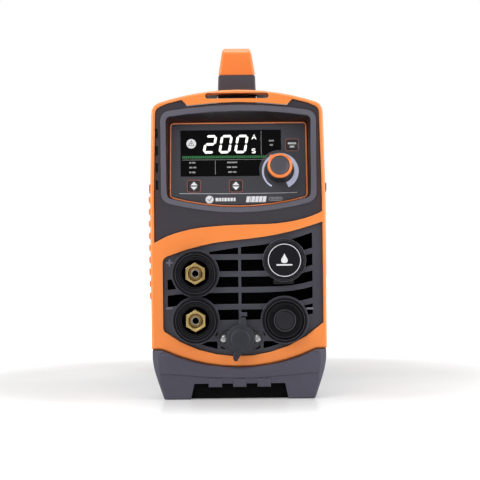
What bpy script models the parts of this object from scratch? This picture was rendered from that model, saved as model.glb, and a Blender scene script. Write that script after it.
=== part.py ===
# Compact inverter TIG welding machine. Front faces -Y, +Z up, metres.
import math

import bmesh
import bpy
from mathutils import Matrix

MM = 0.001
GAP = 0.3                    # between pieces that touch; every size below is in millimetres

# ---- overall ----
DEPTH = 370                  # front of the dust cap to the end of the gas inlet
FRONT = -DEPTH / 2
SIDE_HALF = 72               # half width of the frames, low down
SIDE_TAPER = 1.8             # how much narrower each side is at the top
TAPER_FROM = 165
ARCH_TOP = 253.6
ARCH_RADIUS = 210
CORNER_HEIGHT = 241.6
CORNER_ROUND = 10
BAND_FOOT = 26.2             # middle of the front frame's lower edge
BAND_SIDE = 40.6             # the same edge at the sides
BAND_SIDE_HALF = SIDE_HALF - 9

# ---- front frame ----
FRAME_FACE = 10              # the frame's face behind the foremost point
FRAME_PLATE = 4
FRAME_BACK = 62
FRAME_WALL = 2.6
EDGE_ROUND = 1.4
BRIDGE_HALF = 40.6
BRIDGE_LOW = 241
BRIDGE_RISE = 2.5
SLOT_HALF = 26
SLOT_LOW = 246.4
SLOT_HIGH = 250.9
FLANK_TEETH = 9
TOOTH_PITCH = 9.9
TOOTH_FIRST = 81
TOOTH_PROUD = 1.7

# ---- handle ----
HANDLE_TOP = 292
HANDLE_SPLIT = 268.2
HANDLE_LOW_WIDTH = 30.8
HANDLE_TOP_WIDTH = 23
HANDLE_BASE_WIDTH = 32.8
HANDLE_START = 37
HANDLE_FOOT = 30
HANDLE_BAR = 4               # the lower shell's thickness under the grip
HANDLE_LIFT = 8              # how far the lower shell arches above its feet
HANDLE_CROWN = 0.8

# ---- case ----
COVER_CLEARANCE = 0.4
COVER_SHEET = 1.2
COVER_TOP = 240.8
COVER_FOOT = 34
COVER_START = 37
TRAY_SHEET = 1.2
TRAY_FLOOR = 8
TRAY_FLOOR_HALF = SIDE_HALF - 13
TRAY_START = 19
REAR_STICKS_OUT = 22         # the gas inlet and cable gland behind the rear frame
REAR_FRAME_DEPTH = 42
REAR_FACE = DEPTH - REAR_STICKS_OUT
REAR_START = REAR_FACE - REAR_FRAME_DEPTH
LOUVRES = 9
LOUVRE_PITCH = 11
LOUVRE_HEIGHT = 4
LOUVRE_LENGTH = 70
LOUVRE_FIRST = 62
LOUVRE_START = 205

# ---- bumpers ----
BUMPER_FACE = 7
BUMPER_WALL = 2.1
BUMPER_FRONT_WALL = 4
BUMPER_BACK = 60
BUMPER_HALF = SIDE_HALF - 0.6
BUMPER_FOOT_HALF = SIDE_HALF - 10.2
BUMPER_BULGE = 60
BUMPER_CHAMFER = 6.3
BUMPER_CHAMFER_DEPTH = 3.6
BUMPER_SILL = 7.4
BUMPER_TURN = 29
CUTOUT_HALF = 37.2
CUTOUT_SPLAY = 4             # the cut-out widens towards the floor
CUTOUT_TOP = 12.9
TAB_WIDTH = 10.9
TAB_PITCH = 20
TAB_DROP = 2.9

# ---- display ----
TILT = math.radians(9)
BEZEL_FACE = 12
BEZEL_BACK = 36
RING_PROUD = 1.6
RING_WIDTH = 4.2
PANEL_Z = 157                # lowest point of the panel's outline
PANEL_DEPTH = 15             # the panel's face there, behind the foremost point
PANEL_HEIGHT = 72.5
PANEL_TOP_HALF = 57.2
HOOD_RISE = 3.4              # the hood's opening above the panel's top corners
HOOD_ARCH = 5.2
PANEL_FOOT_HALF = 57.6
PANEL_FOOT_RISE = 8
PANEL_X = 0.8
PANEL_SHEET = 2
PIPING_RADIUS = 0.8
WINDOW_LEFT = -46.9
WINDOW_RIGHT = 36
WINDOW_LOW = 26.6
WINDOW_HIGH = 65.1
KNOB_X = 34.6
KNOB_Z = 31.4
DIAL_CLEAR = 17
KNOB_RADIUS = 10.25
KNOB_FACE_RADIUS = 7.7
KNOB_FOOT = 10.8
KNOB_LENGTH = 18.7
KEY_WIDTH = 9.4
KEY_HEIGHT = 8.4
KEY_TRAVEL = 0.8
KEYS = {"left": (-36.1, 18.2), "middle": (-1.5, 18.0), "upper": (45.4, 52.2)}
BOARD_FACE = 7.5
BOARD_SHEET = 1.6

# ---- grille and sockets ----
GRILLE_FACE = 13
GRILLE_SHEET = 4
OPENING_LEFT = -62.2
OPENING_RIGHT = 69.2
OPENING_FOOT = 34.9
OPENING_FOOT_RADIUS = 102
RIB_HEIGHTS = (62.2, 75.3, 89.2, 102.3, 116.3)
RIB = 4.5
RIB_LIFT = 4.6               # how far a rib's ends rise
PILLAR_X = 60.7
RIB_STARTS = (-50, -58.5, -58.5, -50)
RIB_DROP = 2.2               # how far a rib's left end falls
CENTRE_X = 0.9
CENTRE_RIB = 2.2
BOSS_RADIUS = 19.8
BOSS_FRONT = 10.5
SOCKET_RADIUS = 18.4
SOCKET_FRONT = 3
BARREL_RADIUS = 14
SOCKET_BACK = 34
HEX_ACROSS = 16.4
BORE_RADIUS = 3.4
SHANK_RADIUS = 5.5
INSERT_BACK = 44
PLUS_AT = (-35.6, 103)
MINUS_AT = (-35.6, 64.3)
TORCH_AT = (37.4, 64.2)
BADGE_AT = (37.6, 113.3)
BADGE_RADIUS = 15.6
BADGE_BOSS = 17.8
BADGE_FRONT = 8
CAP_RADIUS = 9.6
REMOTE_AT = (1, 49.4)
FLANGE_HALF = 17.2
FLANGE_TALL = 10.6
FLANGE_SHEET = 2.5
REMOTE_BARREL = 9.5
REMOTE_LENGTH = 6
REMOTE_SCREW_X = 13.6
REMOTE_SCREW_HEAD = 3.1
DUST_INNER = 10.7
DUST_WALL = 1.2
STRAP_X = 2.7
STRAP_DEPTH = 1.4
STRAP_HALF = 2.8
HINGE_Z = 66.5

# ---- rear ----
PANEL_MARGIN = 9
REAR_SHEET = 3
FAN_Z = 92
FAN_SIDE = 92
FAN_DEPTH = 25
FAN_RIM = 2.5
FAN_BORE = FAN_SIDE / 2 - FAN_RIM
FAN_HUB = 18
FAN_BLADES = 7
GUARD_RADIUS = FAN_BORE - 1.5
GUARD_PITCH = 8
GUARD_SLOT = 5
SWITCH_AT = (-36, 196)
SWITCH_HALF = (13.5, 10.5)
GLAND_AT = (2, 196)
GLAND_RADIUS = 9
GAS_AT = (38, 196)
GAS_RADIUS = 6
SIDE_SCREW_Z = 174
SIDE_SCREW_INSET = 34        # behind the frame's face
SIDE_SCREW_HEAD = 4.2
SIDE_SCREW_PROUD = 2.4

ORANGE = ("orange_plastic", (0.85, 0.22, 0.03), 0.4, 0.0)
CHARCOAL = ("charcoal_plastic", (0.055, 0.055, 0.075), 0.55, 0.0)
BLACK = ("black_plastic", (0.012, 0.012, 0.015), 0.4, 0.0)
GREY = ("grey_plastic", (0.1, 0.1, 0.13), 0.5, 0.0)
GLASS = ("display_glass", (0.004, 0.004, 0.005), 0.08, 0.0)
RUBBER = ("black_rubber", (0.03, 0.03, 0.04), 0.75, 0.0)
BRASS = ("brass", (0.75, 0.52, 0.22), 0.3, 1.0)
STEEL = ("bright_steel", (0.6, 0.6, 0.62), 0.3, 1.0)
SHEET = ("painted_sheet", (0.05, 0.05, 0.06), 0.5, 0.2)
ZINC = ("zinc_sheet", (0.45, 0.46, 0.48), 0.45, 0.9)
BOARD = ("green_board", (0.02, 0.16, 0.06), 0.5, 0.0)
COPPER = ("copper", (0.7, 0.3, 0.14), 0.35, 1.0)
ALUMINIUM = ("aluminium", (0.6, 0.62, 0.64), 0.4, 1.0)
CORE = ("ferrite_core", (0.06, 0.06, 0.065), 0.7, 0.1)
HOSE = ("gas_hose", (0.02, 0.05, 0.14), 0.4, 0.0)

PLANES = {
    "front": Matrix(((1, 0, 0, 0), (0, 0, -1, 0), (0, 1, 0, 0), (0, 0, 0, 1))),
    "side": Matrix(((0, 0, 1, 0), (1, 0, 0, 0), (0, 1, 0, 0), (0, 0, 0, 1))),
    "top": Matrix.Identity(4),
}
FACING = {
    "front": Matrix.Rotation(math.pi / 2, 4, "X"),
    "back": Matrix.Rotation(-math.pi / 2, 4, "X"),
    "up": Matrix.Identity(4),
    "left": Matrix.Rotation(-math.pi / 2, 4, "Y"),
    "right": Matrix.Rotation(math.pi / 2, 4, "Y"),
}


# ---------- scene and materials ----------

def clear_scene():
    for item in list(bpy.data.objects):
        bpy.data.objects.remove(item, do_unlink=True)


def collection(name):
    made = bpy.data.collections.new(name)
    bpy.context.scene.collection.children.link(made)
    return made


clear_scene()
PARTS = collection("tig_welding_machine")
CUTTERS = collection("cutters")


def finish_material(finish):
    name, colour, roughness, metallic = finish
    made = bpy.data.materials.get(name)
    if made is None:
        made = bpy.data.materials.new(name)
        made.use_nodes = True
        shader = made.node_tree.nodes["Principled BSDF"]
        shader.inputs["Base Color"].default_value = (*colour, 1)
        shader.inputs["Roughness"].default_value = roughness
        shader.inputs["Metallic"].default_value = metallic
    return made


def place(item, finish=None, parent=None):
    """Puts an object with the parts, or with the cutters when it has no finish."""
    if finish is None:
        CUTTERS.objects.link(item)
        item.hide_render = True
        item.display_type = "WIRE"
    else:
        PARTS.objects.link(item)
        item.data.materials.append(finish_material(finish))
    if parent is not None:
        item.parent = parent
    return item


def smooth(mesh, degrees=35):
    mesh.shade_smooth()
    mesh.set_sharp_from_angle(angle=math.radians(degrees))


# ---------- outlines, as lists of (across, up) in millimetres ----------

def arc(centre, radius, start, end, steps):
    turns = [math.radians(start + (end - start) * i / steps) for i in range(steps + 1)]
    return [(centre[0] + radius * math.cos(t), centre[1] + radius * math.sin(t)) for t in turns]


def circle(centre, radius, steps=24):
    return arc(centre, radius, 0, 360, steps)[:-1]


def rectangle(low, high):
    return [low, (high[0], low[1]), high, (low[0], high[1])]


def rounded(corners, radius, steps=3):
    """Rounds every corner of a closed outline; radius is one number or one for each corner."""
    made = []
    count = len(corners)
    for i, here in enumerate(corners):
        r = radius[i] if isinstance(radius, (list, tuple)) else radius
        before = corners[i - 1]
        after = corners[(i + 1) % count]
        if r <= 0:
            made.append(here)
            continue
        to_before = unit(here, before)
        to_after = unit(here, after)
        dot = to_before[0] * to_after[0] + to_before[1] * to_after[1]
        half = math.acos(max(-1, min(1, dot))) / 2
        reach = r / math.tan(half)
        first = (here[0] + to_before[0] * reach, here[1] + to_before[1] * reach)
        last = (here[0] + to_after[0] * reach, here[1] + to_after[1] * reach)
        for k in range(steps + 1):
            t = k / steps
            a = (1 - t) ** 2
            b = 2 * t * (1 - t)
            c = t ** 2
            made.append((a * first[0] + b * here[0] + c * last[0], a * first[1] + b * here[1] + c * last[1]))
    return made


def unit(start, end):
    dx = end[0] - start[0]
    dz = end[1] - start[1]
    length = math.hypot(dx, dz)
    return dx / length, dz / length


def through(points, steps=3):
    """A smooth line through the points."""
    made = []
    last = len(points) - 1
    for i in range(last):
        p0 = points[max(i - 1, 0)]
        p1 = points[i]
        p2 = points[i + 1]
        p3 = points[min(i + 2, last)]
        for k in range(steps):
            t = k / steps
            made.append(tuple(
                0.5 * (2 * p1[j] + (p2[j] - p0[j]) * t
                       + (2 * p0[j] - 5 * p1[j] + 4 * p2[j] - p3[j]) * t * t
                       + (3 * p1[j] - p0[j] - 3 * p2[j] + p3[j]) * t ** 3)
                for j in (0, 1)))
    made.append(points[last])
    return made


def inset(loop, distance):
    """The closed outline moved inwards by a distance, or outwards by a negative one."""
    count = len(loop)
    area = sum(loop[i - 1][0] * loop[i][1] - loop[i][0] * loop[i - 1][1] for i in range(count))
    side = 1 if area > 0 else -1
    made = []
    for i, here in enumerate(loop):
        first = unit(loop[i - 1], here)
        second = unit(here, loop[(i + 1) % count])
        normal_a = (-first[1] * side, first[0] * side)
        normal_b = (-second[1] * side, second[0] * side)
        middle = (normal_a[0] + normal_b[0], normal_a[1] + normal_b[1])
        scale = distance / max(0.25, (1 + normal_a[0] * normal_b[0] + normal_a[1] * normal_b[1]))
        made.append((here[0] + middle[0] * scale, here[1] + middle[1] * scale))
    return made


# ---------- solids ----------

def mesh_object(name, bm, finish=None, parent=None, at=(0, 0, 0), smoothed=True):
    for vertex in bm.verts:
        vertex.co = vertex.co * MM
    mesh = bpy.data.meshes.new(name)
    bm.to_mesh(mesh)
    bm.free()
    if smoothed:
        smooth(mesh)
    item = bpy.data.objects.new(name, mesh)
    item.location = [value * MM for value in at]
    return place(item, finish, parent)


def prism(name, loops, plane, low, high, finish=None, parent=None, at=(0, 0, 0), edge=0):
    """A flat outline, with any holes, given thickness from low to high along the plane's normal."""
    data = bpy.data.curves.new(name, "CURVE")
    data.dimensions = "2D"
    data.fill_mode = "BOTH"
    data.extrude = (high - low) / 2 - edge
    data.bevel_depth = edge
    data.bevel_resolution = 0
    data.offset = -edge
    for loop in loops:
        spline = data.splines.new("POLY")
        spline.points.add(len(loop) - 1)
        for point, (across, up) in zip(spline.points, loop):
            point.co = (across, up, 0, 1)
        spline.use_cyclic_u = True
    curve = bpy.data.objects.new(name + "_outline", data)
    CUTTERS.objects.link(curve)
    bpy.context.view_layer.update()
    seen = curve.evaluated_get(bpy.context.evaluated_depsgraph_get())
    flat = bpy.data.meshes.new_from_object(seen)
    bm = bmesh.new()
    bm.from_mesh(flat)
    bmesh.ops.remove_doubles(bm, verts=bm.verts, dist=0.002)
    sign = -1 if plane == "front" else 1
    shift = Matrix.Translation((0, 0, sign * (high + low) / 2))
    bmesh.ops.transform(bm, matrix=PLANES[plane] @ shift, verts=bm.verts)
    bmesh.ops.recalc_face_normals(bm, faces=bm.faces)
    bpy.data.objects.remove(curve, do_unlink=True)
    bpy.data.curves.remove(data)
    bpy.data.meshes.remove(flat)
    return mesh_object(name, bm, finish, parent, at)


def front_prism(name, loops, near, far, finish=None, edge=0):
    """An outline seen from the front, between two depths behind the foremost point."""
    return prism(name, loops, "front", FRONT + near, FRONT + far, finish, edge=edge)


def box(name, low, high, finish=None, parent=None, at=(0, 0, 0)):
    bm = bmesh.new()
    bmesh.ops.create_cube(bm, size=1)
    for vertex in bm.verts:
        vertex.co = [low[i] if vertex.co[i] < 0 else high[i] for i in range(3)]
    return mesh_object(name, bm, finish, parent, at, smoothed=False)


def turned(name, profile, at, facing, finish=None, parent=None, steps=24, ring=False):
    """A profile of (radius, height) points turned about its axis; a ring's profile is a closed one."""
    points = list(profile)
    closed = points if ring else points + [(0, points[-1][1]), (0, points[0][1])]
    area = sum(closed[i - 1][0] * closed[i][1] - closed[i][0] * closed[i - 1][1] for i in range(len(closed)))
    if area > 0:
        points.reverse()
    bm = bmesh.new()
    rows = [bm.verts.new((radius * MM, 0, height * MM)) for radius, height in points]
    for first, second in zip(rows, rows[1:]):
        bm.edges.new((first, second))
    if ring:
        bm.edges.new((rows[-1], rows[0]))
    mesh = bpy.data.meshes.new(name)
    bm.to_mesh(mesh)
    bm.free()
    item = bpy.data.objects.new(name, mesh)
    item.matrix_world = Matrix.Translation([value * MM for value in at]) @ FACING[facing]
    place(item, finish, parent)
    screw = item.modifiers.new("turn", "SCREW")
    screw.steps = steps
    screw.render_steps = steps
    screw.use_merge_vertices = True
    screw.merge_threshold = 0.00001
    screw.use_smooth_shade = True
    return item


def solid(name, radius, low, high, at, facing, finish=None, parent=None, steps=24):
    return turned(name, [(0, low), (radius, low), (radius, high), (0, high)], at, facing, finish, parent, steps)


def wire(name, points, radius, finish, cyclic=False, parent=None, resolution=2):
    data = bpy.data.curves.new(name, "CURVE")
    data.dimensions = "3D"
    data.bevel_depth = radius * MM
    data.bevel_resolution = resolution
    data.use_fill_caps = not cyclic
    spline = data.splines.new("POLY")
    spline.points.add(len(points) - 1)
    for point, spot in zip(spline.points, points):
        point.co = (spot[0] * MM, spot[1] * MM, spot[2] * MM, 1)
    spline.use_cyclic_u = cyclic
    return place(bpy.data.objects.new(name, data), finish, parent)


def boolean(item, tool, operation, solver):
    modifier = item.modifiers.new(operation.lower(), "BOOLEAN")
    modifier.operation = operation
    modifier.solver = solver
    modifier.object = tool


def cut(item, *tools, solver="EXACT"):
    for tool in tools:
        boolean(item, tool, "DIFFERENCE", solver)


def join(item, *tools, solver="EXACT"):
    for tool in tools:
        boolean(item, tool, "UNION", solver)


# ---------- the outlines that several pieces share ----------

def side_at(height):
    """Half width of the frames at a height."""
    share = max(0.0, (height - TAPER_FROM) / (CORNER_HEIGHT - TAPER_FROM))
    return SIDE_HALF - SIDE_TAPER * share


def arch_at(across):
    return ARCH_TOP - ARCH_RADIUS + math.sqrt(ARCH_RADIUS ** 2 - across ** 2)


def band_foot(lift=0.0, half=BAND_SIDE_HALF, steps=10):
    """The arched lower edge of the frames, left to right."""
    rise = BAND_SIDE - BAND_FOOT
    radius = (half ** 2 + rise ** 2) / (2 * rise)
    across = [half * (2 * i / steps - 1) for i in range(steps + 1)]
    return [(x, BAND_FOOT + lift + radius - math.sqrt(radius ** 2 - x ** 2)) for x in across]


def frame_outline(inside=0.0):
    """The frames' outer outline, moved inwards by a wall."""
    half = 56
    top = [(half * (1 - i / 5), arch_at(half * (1 - i / 5))) for i in range(11)]
    right = rounded([(SIDE_HALF, BAND_SIDE + 0.6), (side_at(TAPER_FROM), TAPER_FROM),
                     (side_at(CORNER_HEIGHT), CORNER_HEIGHT), top[0]], [0, 0, CORNER_ROUND, 0], 4)
    left = [(-x, z) for x, z in reversed(right[:-1])]
    loop = band_foot() + right + top[1:] + left
    return inset(loop, inside) if inside else loop


def cavity_outline(wall):
    """Inside of a frame: its walls, and open below."""
    half = SIDE_HALF - wall
    upper = frame_outline(wall)[len(band_foot()) + 1:-1]
    return [(-half, 0), (half, 0)] + upper


def band_top():
    """The S-shaped upper edge of the cross band, left to right."""
    return through([(-69, 128.3), (-58.8, 133.6), (-46.2, 137.7), (-30.5, 140.6), (-8, 142.4),
                    (14, 142.9), (31, 143.5), (47, 145.7), (60.8, 149.5), (69.4, 153.3)], 2)


def upper_opening():
    """Where the display bezel sits in the frame."""
    rim = 3
    arch = [(x, arch_at(x) - rim) for x in (45.5, 52, 58)]
    corner = rounded([arch[2], (side_at(CORNER_HEIGHT) - rim, CORNER_HEIGHT - rim),
                      (side_at(TAPER_FROM) - rim, TAPER_FROM)], [0, CORNER_ROUND - rim, 0], 4)
    bridge = [(x, BRIDGE_LOW + BRIDGE_RISE * (1 - (x / BRIDGE_HALF) ** 2))
              for x in (BRIDGE_HALF, 20.3, 0, -20.3, -BRIDGE_HALF)]
    left_side = [(-x, z) for x, z in reversed(arch[:2])]
    left_corner = [(-x, z) for x, z in corner[1:]]
    right_side = [(x, z) for x, z in reversed(corner[1:])]
    foot = [(max(-69, min(69, x)), z) for x, z in band_top()]
    return foot + right_side + [arch[2], arch[1], arch[0]] + bridge + list(reversed(left_side)) + [
        (-arch[2][0], arch[2][1])] + left_corner


def lower_opening():
    """Where the grille sits in the frame."""
    steps = 9
    xs = [OPENING_LEFT + (OPENING_RIGHT - OPENING_LEFT) * i / steps for i in range(steps + 1)]
    foot = [(x, OPENING_FOOT + OPENING_FOOT_RADIUS - math.sqrt(OPENING_FOOT_RADIUS ** 2 - x * x)) for x in xs]
    top = through([(OPENING_RIGHT, 144.8), (63.7, 142.9), (42.7, 136.8), (21.7, 132.8), (0.8, 130.4),
                   (-20, 128), (-41, 123), (-54.5, 118.6)], 2)
    corner = rounded([top[-1], (OPENING_LEFT, 116), foot[0], foot[1]], [0, 6, 5, 0], 4)
    return foot[1:] + top + corner[1:-1]


# ---------- front frame ----------

def flank_teeth():
    """The saw-toothed strip of ribs down the left flank."""
    points = [(-SIDE_HALF + 1, TOOTH_FIRST + FLANK_TEETH * TOOTH_PITCH), (-SIDE_HALF + 1, TOOTH_FIRST - 2)]
    for i in range(FLANK_TEETH):
        low = TOOTH_FIRST + i * TOOTH_PITCH
        points += [(-side_at(low) - 0.1, low), (-SIDE_HALF - TOOTH_PROUD, low + 2.2),
                   (-SIDE_HALF - TOOTH_PROUD, low + 6), (-side_at(low) - 0.1, low + 7)]
    return front_prism("flank_teeth", [points], FRAME_FACE + 9, FRAME_BACK - 9)


def frame_shell(name, near, far, finish, plate_near=True):
    """A frame's outer wall with a front plate, or a rear one."""
    item = front_prism(name, [frame_outline()], near, far, finish, edge=EDGE_ROUND)
    if plate_near:
        hollow = front_prism(name + "_hollow", [cavity_outline(FRAME_WALL)], near + FRAME_PLATE, far + 5)
    else:
        hollow = front_prism(name + "_hollow", [cavity_outline(FRAME_WALL)], near - 5, far - FRAME_PLATE)
    cut(item, hollow, solver="MANIFOLD")
    return item


def handle_notch(name, near, far):
    half = HANDLE_BASE_WIDTH / 2 + 0.4
    return box(name, (-half, FRONT + near, BRIDGE_LOW + 5), (half, FRONT + far, ARCH_TOP + 5))


def screw_hole(name, depth):
    return solid(name, 2.5, -SIDE_HALF - 20, SIDE_HALF + 20, (0, FRONT + depth, SIDE_SCREW_Z), "right", steps=12)


def build_front_frame():
    frame = frame_shell("front_frame", FRAME_FACE, FRAME_BACK, ORANGE)
    join(frame, flank_teeth(), solver="MANIFOLD")
    near = FRAME_FACE - 4
    far = FRAME_FACE + FRAME_PLATE + 4
    cut(frame,
        front_prism("upper_opening", [upper_opening()], near, far),
        front_prism("lower_opening", [lower_opening()], near, far),
        front_prism("arch_slot", [rounded(rectangle((-SLOT_HALF, SLOT_LOW), (SLOT_HALF, SLOT_HIGH)), 2, 2)],
                    near, far),
        handle_notch("front_notch", HANDLE_START - GAP, FRAME_BACK + 5),
        screw_hole("front_screw_hole", FRAME_FACE + SIDE_SCREW_INSET), solver="MANIFOLD")


# ---------- display ----------

def panel_outline(shrink=0.0):
    """The panel's outline in its own plane, from its lowest point, with an arched foot."""
    foot_x = [PANEL_FOOT_HALF * (i / 4 - 1) for i in range(9)]
    foot = [(PANEL_X + x, PANEL_FOOT_RISE * (x / PANEL_FOOT_HALF) ** 2) for x in foot_x]
    top = [(PANEL_X + PANEL_TOP_HALF * (1 - i / 3), PANEL_HEIGHT) for i in range(7)]
    corners = foot + top
    foot_round = max(1, 5 - shrink)
    top_round = max(1, 4 - shrink)
    radii = [foot_round] + [0] * 7 + [foot_round, top_round] + [0] * 5 + [top_round]
    return rounded(inset(corners, shrink), radii, 4)


def ring_outline(grow):
    """The hood's opening in the bezel's face, with the same points as the panel's outline."""
    made = []
    for across, up in panel_outline():
        share = up / PANEL_HEIGHT
        x = PANEL_X + (across - PANEL_X) * (1.035 + 0.012 * share)
        arch = HOOD_ARCH * max(0, 1 - ((across - PANEL_X) / PANEL_TOP_HALF) ** 2)
        z = PANEL_Z + up * math.cos(TILT) + share * (HOOD_RISE + arch)
        made.append((x, z))
    return inset(made, -grow)


def panel_plane():
    """An empty on the panel's face at its lowest point, leaning back with it."""
    empty = bpy.data.objects.new("panel_plane", None)
    empty.location = (0, (FRONT + PANEL_DEPTH) * MM, PANEL_Z * MM)
    empty.rotation_euler = (-TILT, 0, 0)
    PARTS.objects.link(empty)
    bpy.context.view_layer.update()
    return empty


def panel_prism(name, loops, near, far, finish=None, parent=None, edge=0):
    return prism(name, loops, "front", near, far, finish, parent, edge=edge)


def hood_cutter():
    """A funnel from the bezel's face down to the panel."""
    bm = bmesh.new()
    face = [bm.verts.new((x, FRONT + BEZEL_FACE - RING_PROUD - 1, z)) for x, z in ring_outline(0)]
    y0 = FRONT + PANEL_DEPTH
    floor = []
    for across, up in panel_outline():
        y = y0 + up * math.sin(TILT)
        floor.append(bm.verts.new((across, y, PANEL_Z + up * math.cos(TILT))))
    loops = []
    for ring in (face, floor):
        loops += [bm.edges.new((ring[i - 1], ring[i])) for i in range(len(ring))]
    bmesh.ops.bridge_loops(bm, edges=loops)
    bm.faces.new(face)
    bm.faces.new(floor)
    bmesh.ops.recalc_face_normals(bm, faces=bm.faces)
    return mesh_object("hood_funnel", bm)


def build_bezel(plane):
    bezel = front_prism("display_bezel", [inset(upper_opening(), GAP)], BEZEL_FACE, BEZEL_BACK, CHARCOAL)
    ring = front_prism("raised_ring", [ring_outline(RING_WIDTH)], BEZEL_FACE - RING_PROUD, BEZEL_FACE + 1, edge=0.6)
    join(bezel, ring)
    pocket = panel_prism("panel_pocket", [panel_outline()], -1, PANEL_SHEET + GAP, parent=plane)
    through_hole = panel_prism("panel_back_hole", [panel_outline(4)], 1, 40, parent=plane)
    cut(bezel, hood_cutter(), pocket, through_hole)
    for i in range(4):
        low = 172 + i * 14.1
        cut(bezel, box("bezel_slot_%d" % (i + 1), (-67.4, FRONT + BEZEL_FACE - 2, low),
                       (-65.2, FRONT + BEZEL_FACE + 5, low + 8)))


def key_outline(name, grow=0.0):
    x, z = KEYS[name]
    half = (KEY_WIDTH / 2 + grow, KEY_HEIGHT / 2 + grow)
    return rounded(rectangle((x - half[0], z - half[1]), (x + half[0], z + half[1])), 1.4 + grow, 2)


def window_outline(grow=0.0):
    """The display's outline, hollowed where the dial stands."""
    radius = DIAL_CLEAR - grow
    right = WINDOW_RIGHT + grow
    low = WINDOW_LOW - grow
    up = KNOB_Z + math.sqrt(radius ** 2 - (right - KNOB_X) ** 2)
    start = math.degrees(math.atan2(up - KNOB_Z, right - KNOB_X))
    left_reach = math.sqrt(radius ** 2 - (KNOB_Z - low) ** 2)
    end = 180 + math.degrees(math.atan2(KNOB_Z - low, left_reach))
    hollow = arc((KNOB_X, KNOB_Z), radius, start, end, 9)
    return [(WINDOW_LEFT - grow, low)] + list(reversed(hollow)) + [
        (right, WINDOW_HIGH + grow), (WINDOW_LEFT - grow, WINDOW_HIGH + grow)]


def build_panel(plane):
    holes = [window_outline(GAP)] + [key_outline(name, GAP) for name in KEYS]
    holes.append(circle((KNOB_X, KNOB_Z), 4.2, 16))
    edge = 2 * PIPING_RADIUS + 2 * GAP
    panel_prism("control_panel", [panel_outline(edge)] + holes, 0, PANEL_SHEET, CHARCOAL, plane)
    line = panel_outline(PIPING_RADIUS + GAP)
    wire("panel_piping", [(x, PIPING_RADIUS, z) for x, z in line], PIPING_RADIUS, ORANGE, True, plane, 1)
    panel_prism("display_window", [window_outline()], 0.1, PANEL_SHEET - 0.2, GLASS, plane)
    back = BOARD_FACE - GAP
    box("display_module", (WINDOW_LEFT + 2, PANEL_SHEET + GAP, WINDOW_LOW + 2),
        (KNOB_X - DIAL_CLEAR - 2, back, WINDOW_HIGH - 2), BLACK, plane)
    board_half = 46
    box("control_board", (-board_half, BOARD_FACE, 12), (board_half + 4, BOARD_FACE + BOARD_SHEET, 62), BOARD, plane)
    for name in KEYS:
        x, z = KEYS[name]
        local = [(a - x, b - z) for a, b in key_outline(name)]
        key = panel_prism("key_" + name, [local], -0.7, PANEL_SHEET, GREY, plane, edge=0.3)
        key.location = (x * MM, 0, z * MM)
        switch = box("key_switch_" + name, (x - 3, PANEL_SHEET + 2.2, z - 3), (x + 3, back, z + 3), BLACK, plane)
        join(switch, box("key_plunger_" + name, (x - 1.5, PANEL_SHEET + KEY_TRAVEL + 0.2, z - 1.5),
                         (x + 1.5, PANEL_SHEET + 2.6, z + 1.5), None, plane))


def build_knob(plane):
    """The knob's pieces and the encoder; heights run forward from the panel's face."""
    at = (KNOB_X, 0, KNOB_Z)
    cap_depth = 2.4
    body_top = KNOB_LENGTH - 3.2
    hub = 3.0
    side = KNOB_RADIUS - 0.35
    turned("knob_skirt", [(hub + GAP, 1), (KNOB_FOOT, 1), (KNOB_FOOT, 2.2), (side, 5.5), (side, body_top),
                          (hub + GAP, body_top)],
           at, "front", BLACK, plane, 24, ring=True)
    low = body_top + GAP
    ring_inner = KNOB_FACE_RADIUS + GAP
    turned("knob_ring", [(ring_inner, low), (KNOB_RADIUS, low), (KNOB_RADIUS, low + 0.9),
                         (KNOB_RADIUS - 1.5, KNOB_LENGTH), (ring_inner, KNOB_LENGTH)],
           at, "front", ORANGE, plane, 24, ring=True)
    cap = turned("knob_cap", [(0, low), (KNOB_FACE_RADIUS, low), (KNOB_FACE_RADIUS, low + cap_depth - 0.4),
                              (KNOB_FACE_RADIUS - 0.6, low + cap_depth), (0, low + cap_depth)],
                 at, "front", GREY, plane, 24)
    cut(cap, solid("cap_bore", hub + GAP, low - 1, low + 1, at, "front", None, plane, 16))
    solid("encoder_shaft", hub, -PANEL_SHEET - 2.6, low + 0.7, at, "front", ALUMINIUM, plane, 16)
    body = box("encoder_body", (KNOB_X - 6.5, PANEL_SHEET + GAP, KNOB_Z - 6.5),
               (KNOB_X + 6.5, BOARD_FACE - GAP, KNOB_Z + 6.5), STEEL, plane)
    cut(body, solid("encoder_bore", hub + GAP, -PANEL_SHEET - 2.9, 2, at, "front", None, plane, 16))


# ---------- grille ----------

def rib_line(height, offset, start, end, steps=7):
    """Along a rib's edge; its ends rise."""
    xs = [start + (end - start) * i / steps for i in range(steps + 1)]
    return [(x, height + offset + (RIB_LIFT if x > 0 else -RIB_DROP) * (x / PILLAR_X) ** 4) for x in xs]


def slot_loop(lower, upper, start, end):
    return rib_line(lower, RIB / 2, start, end) + list(reversed(rib_line(upper, -RIB / 2, start, end)))


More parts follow.
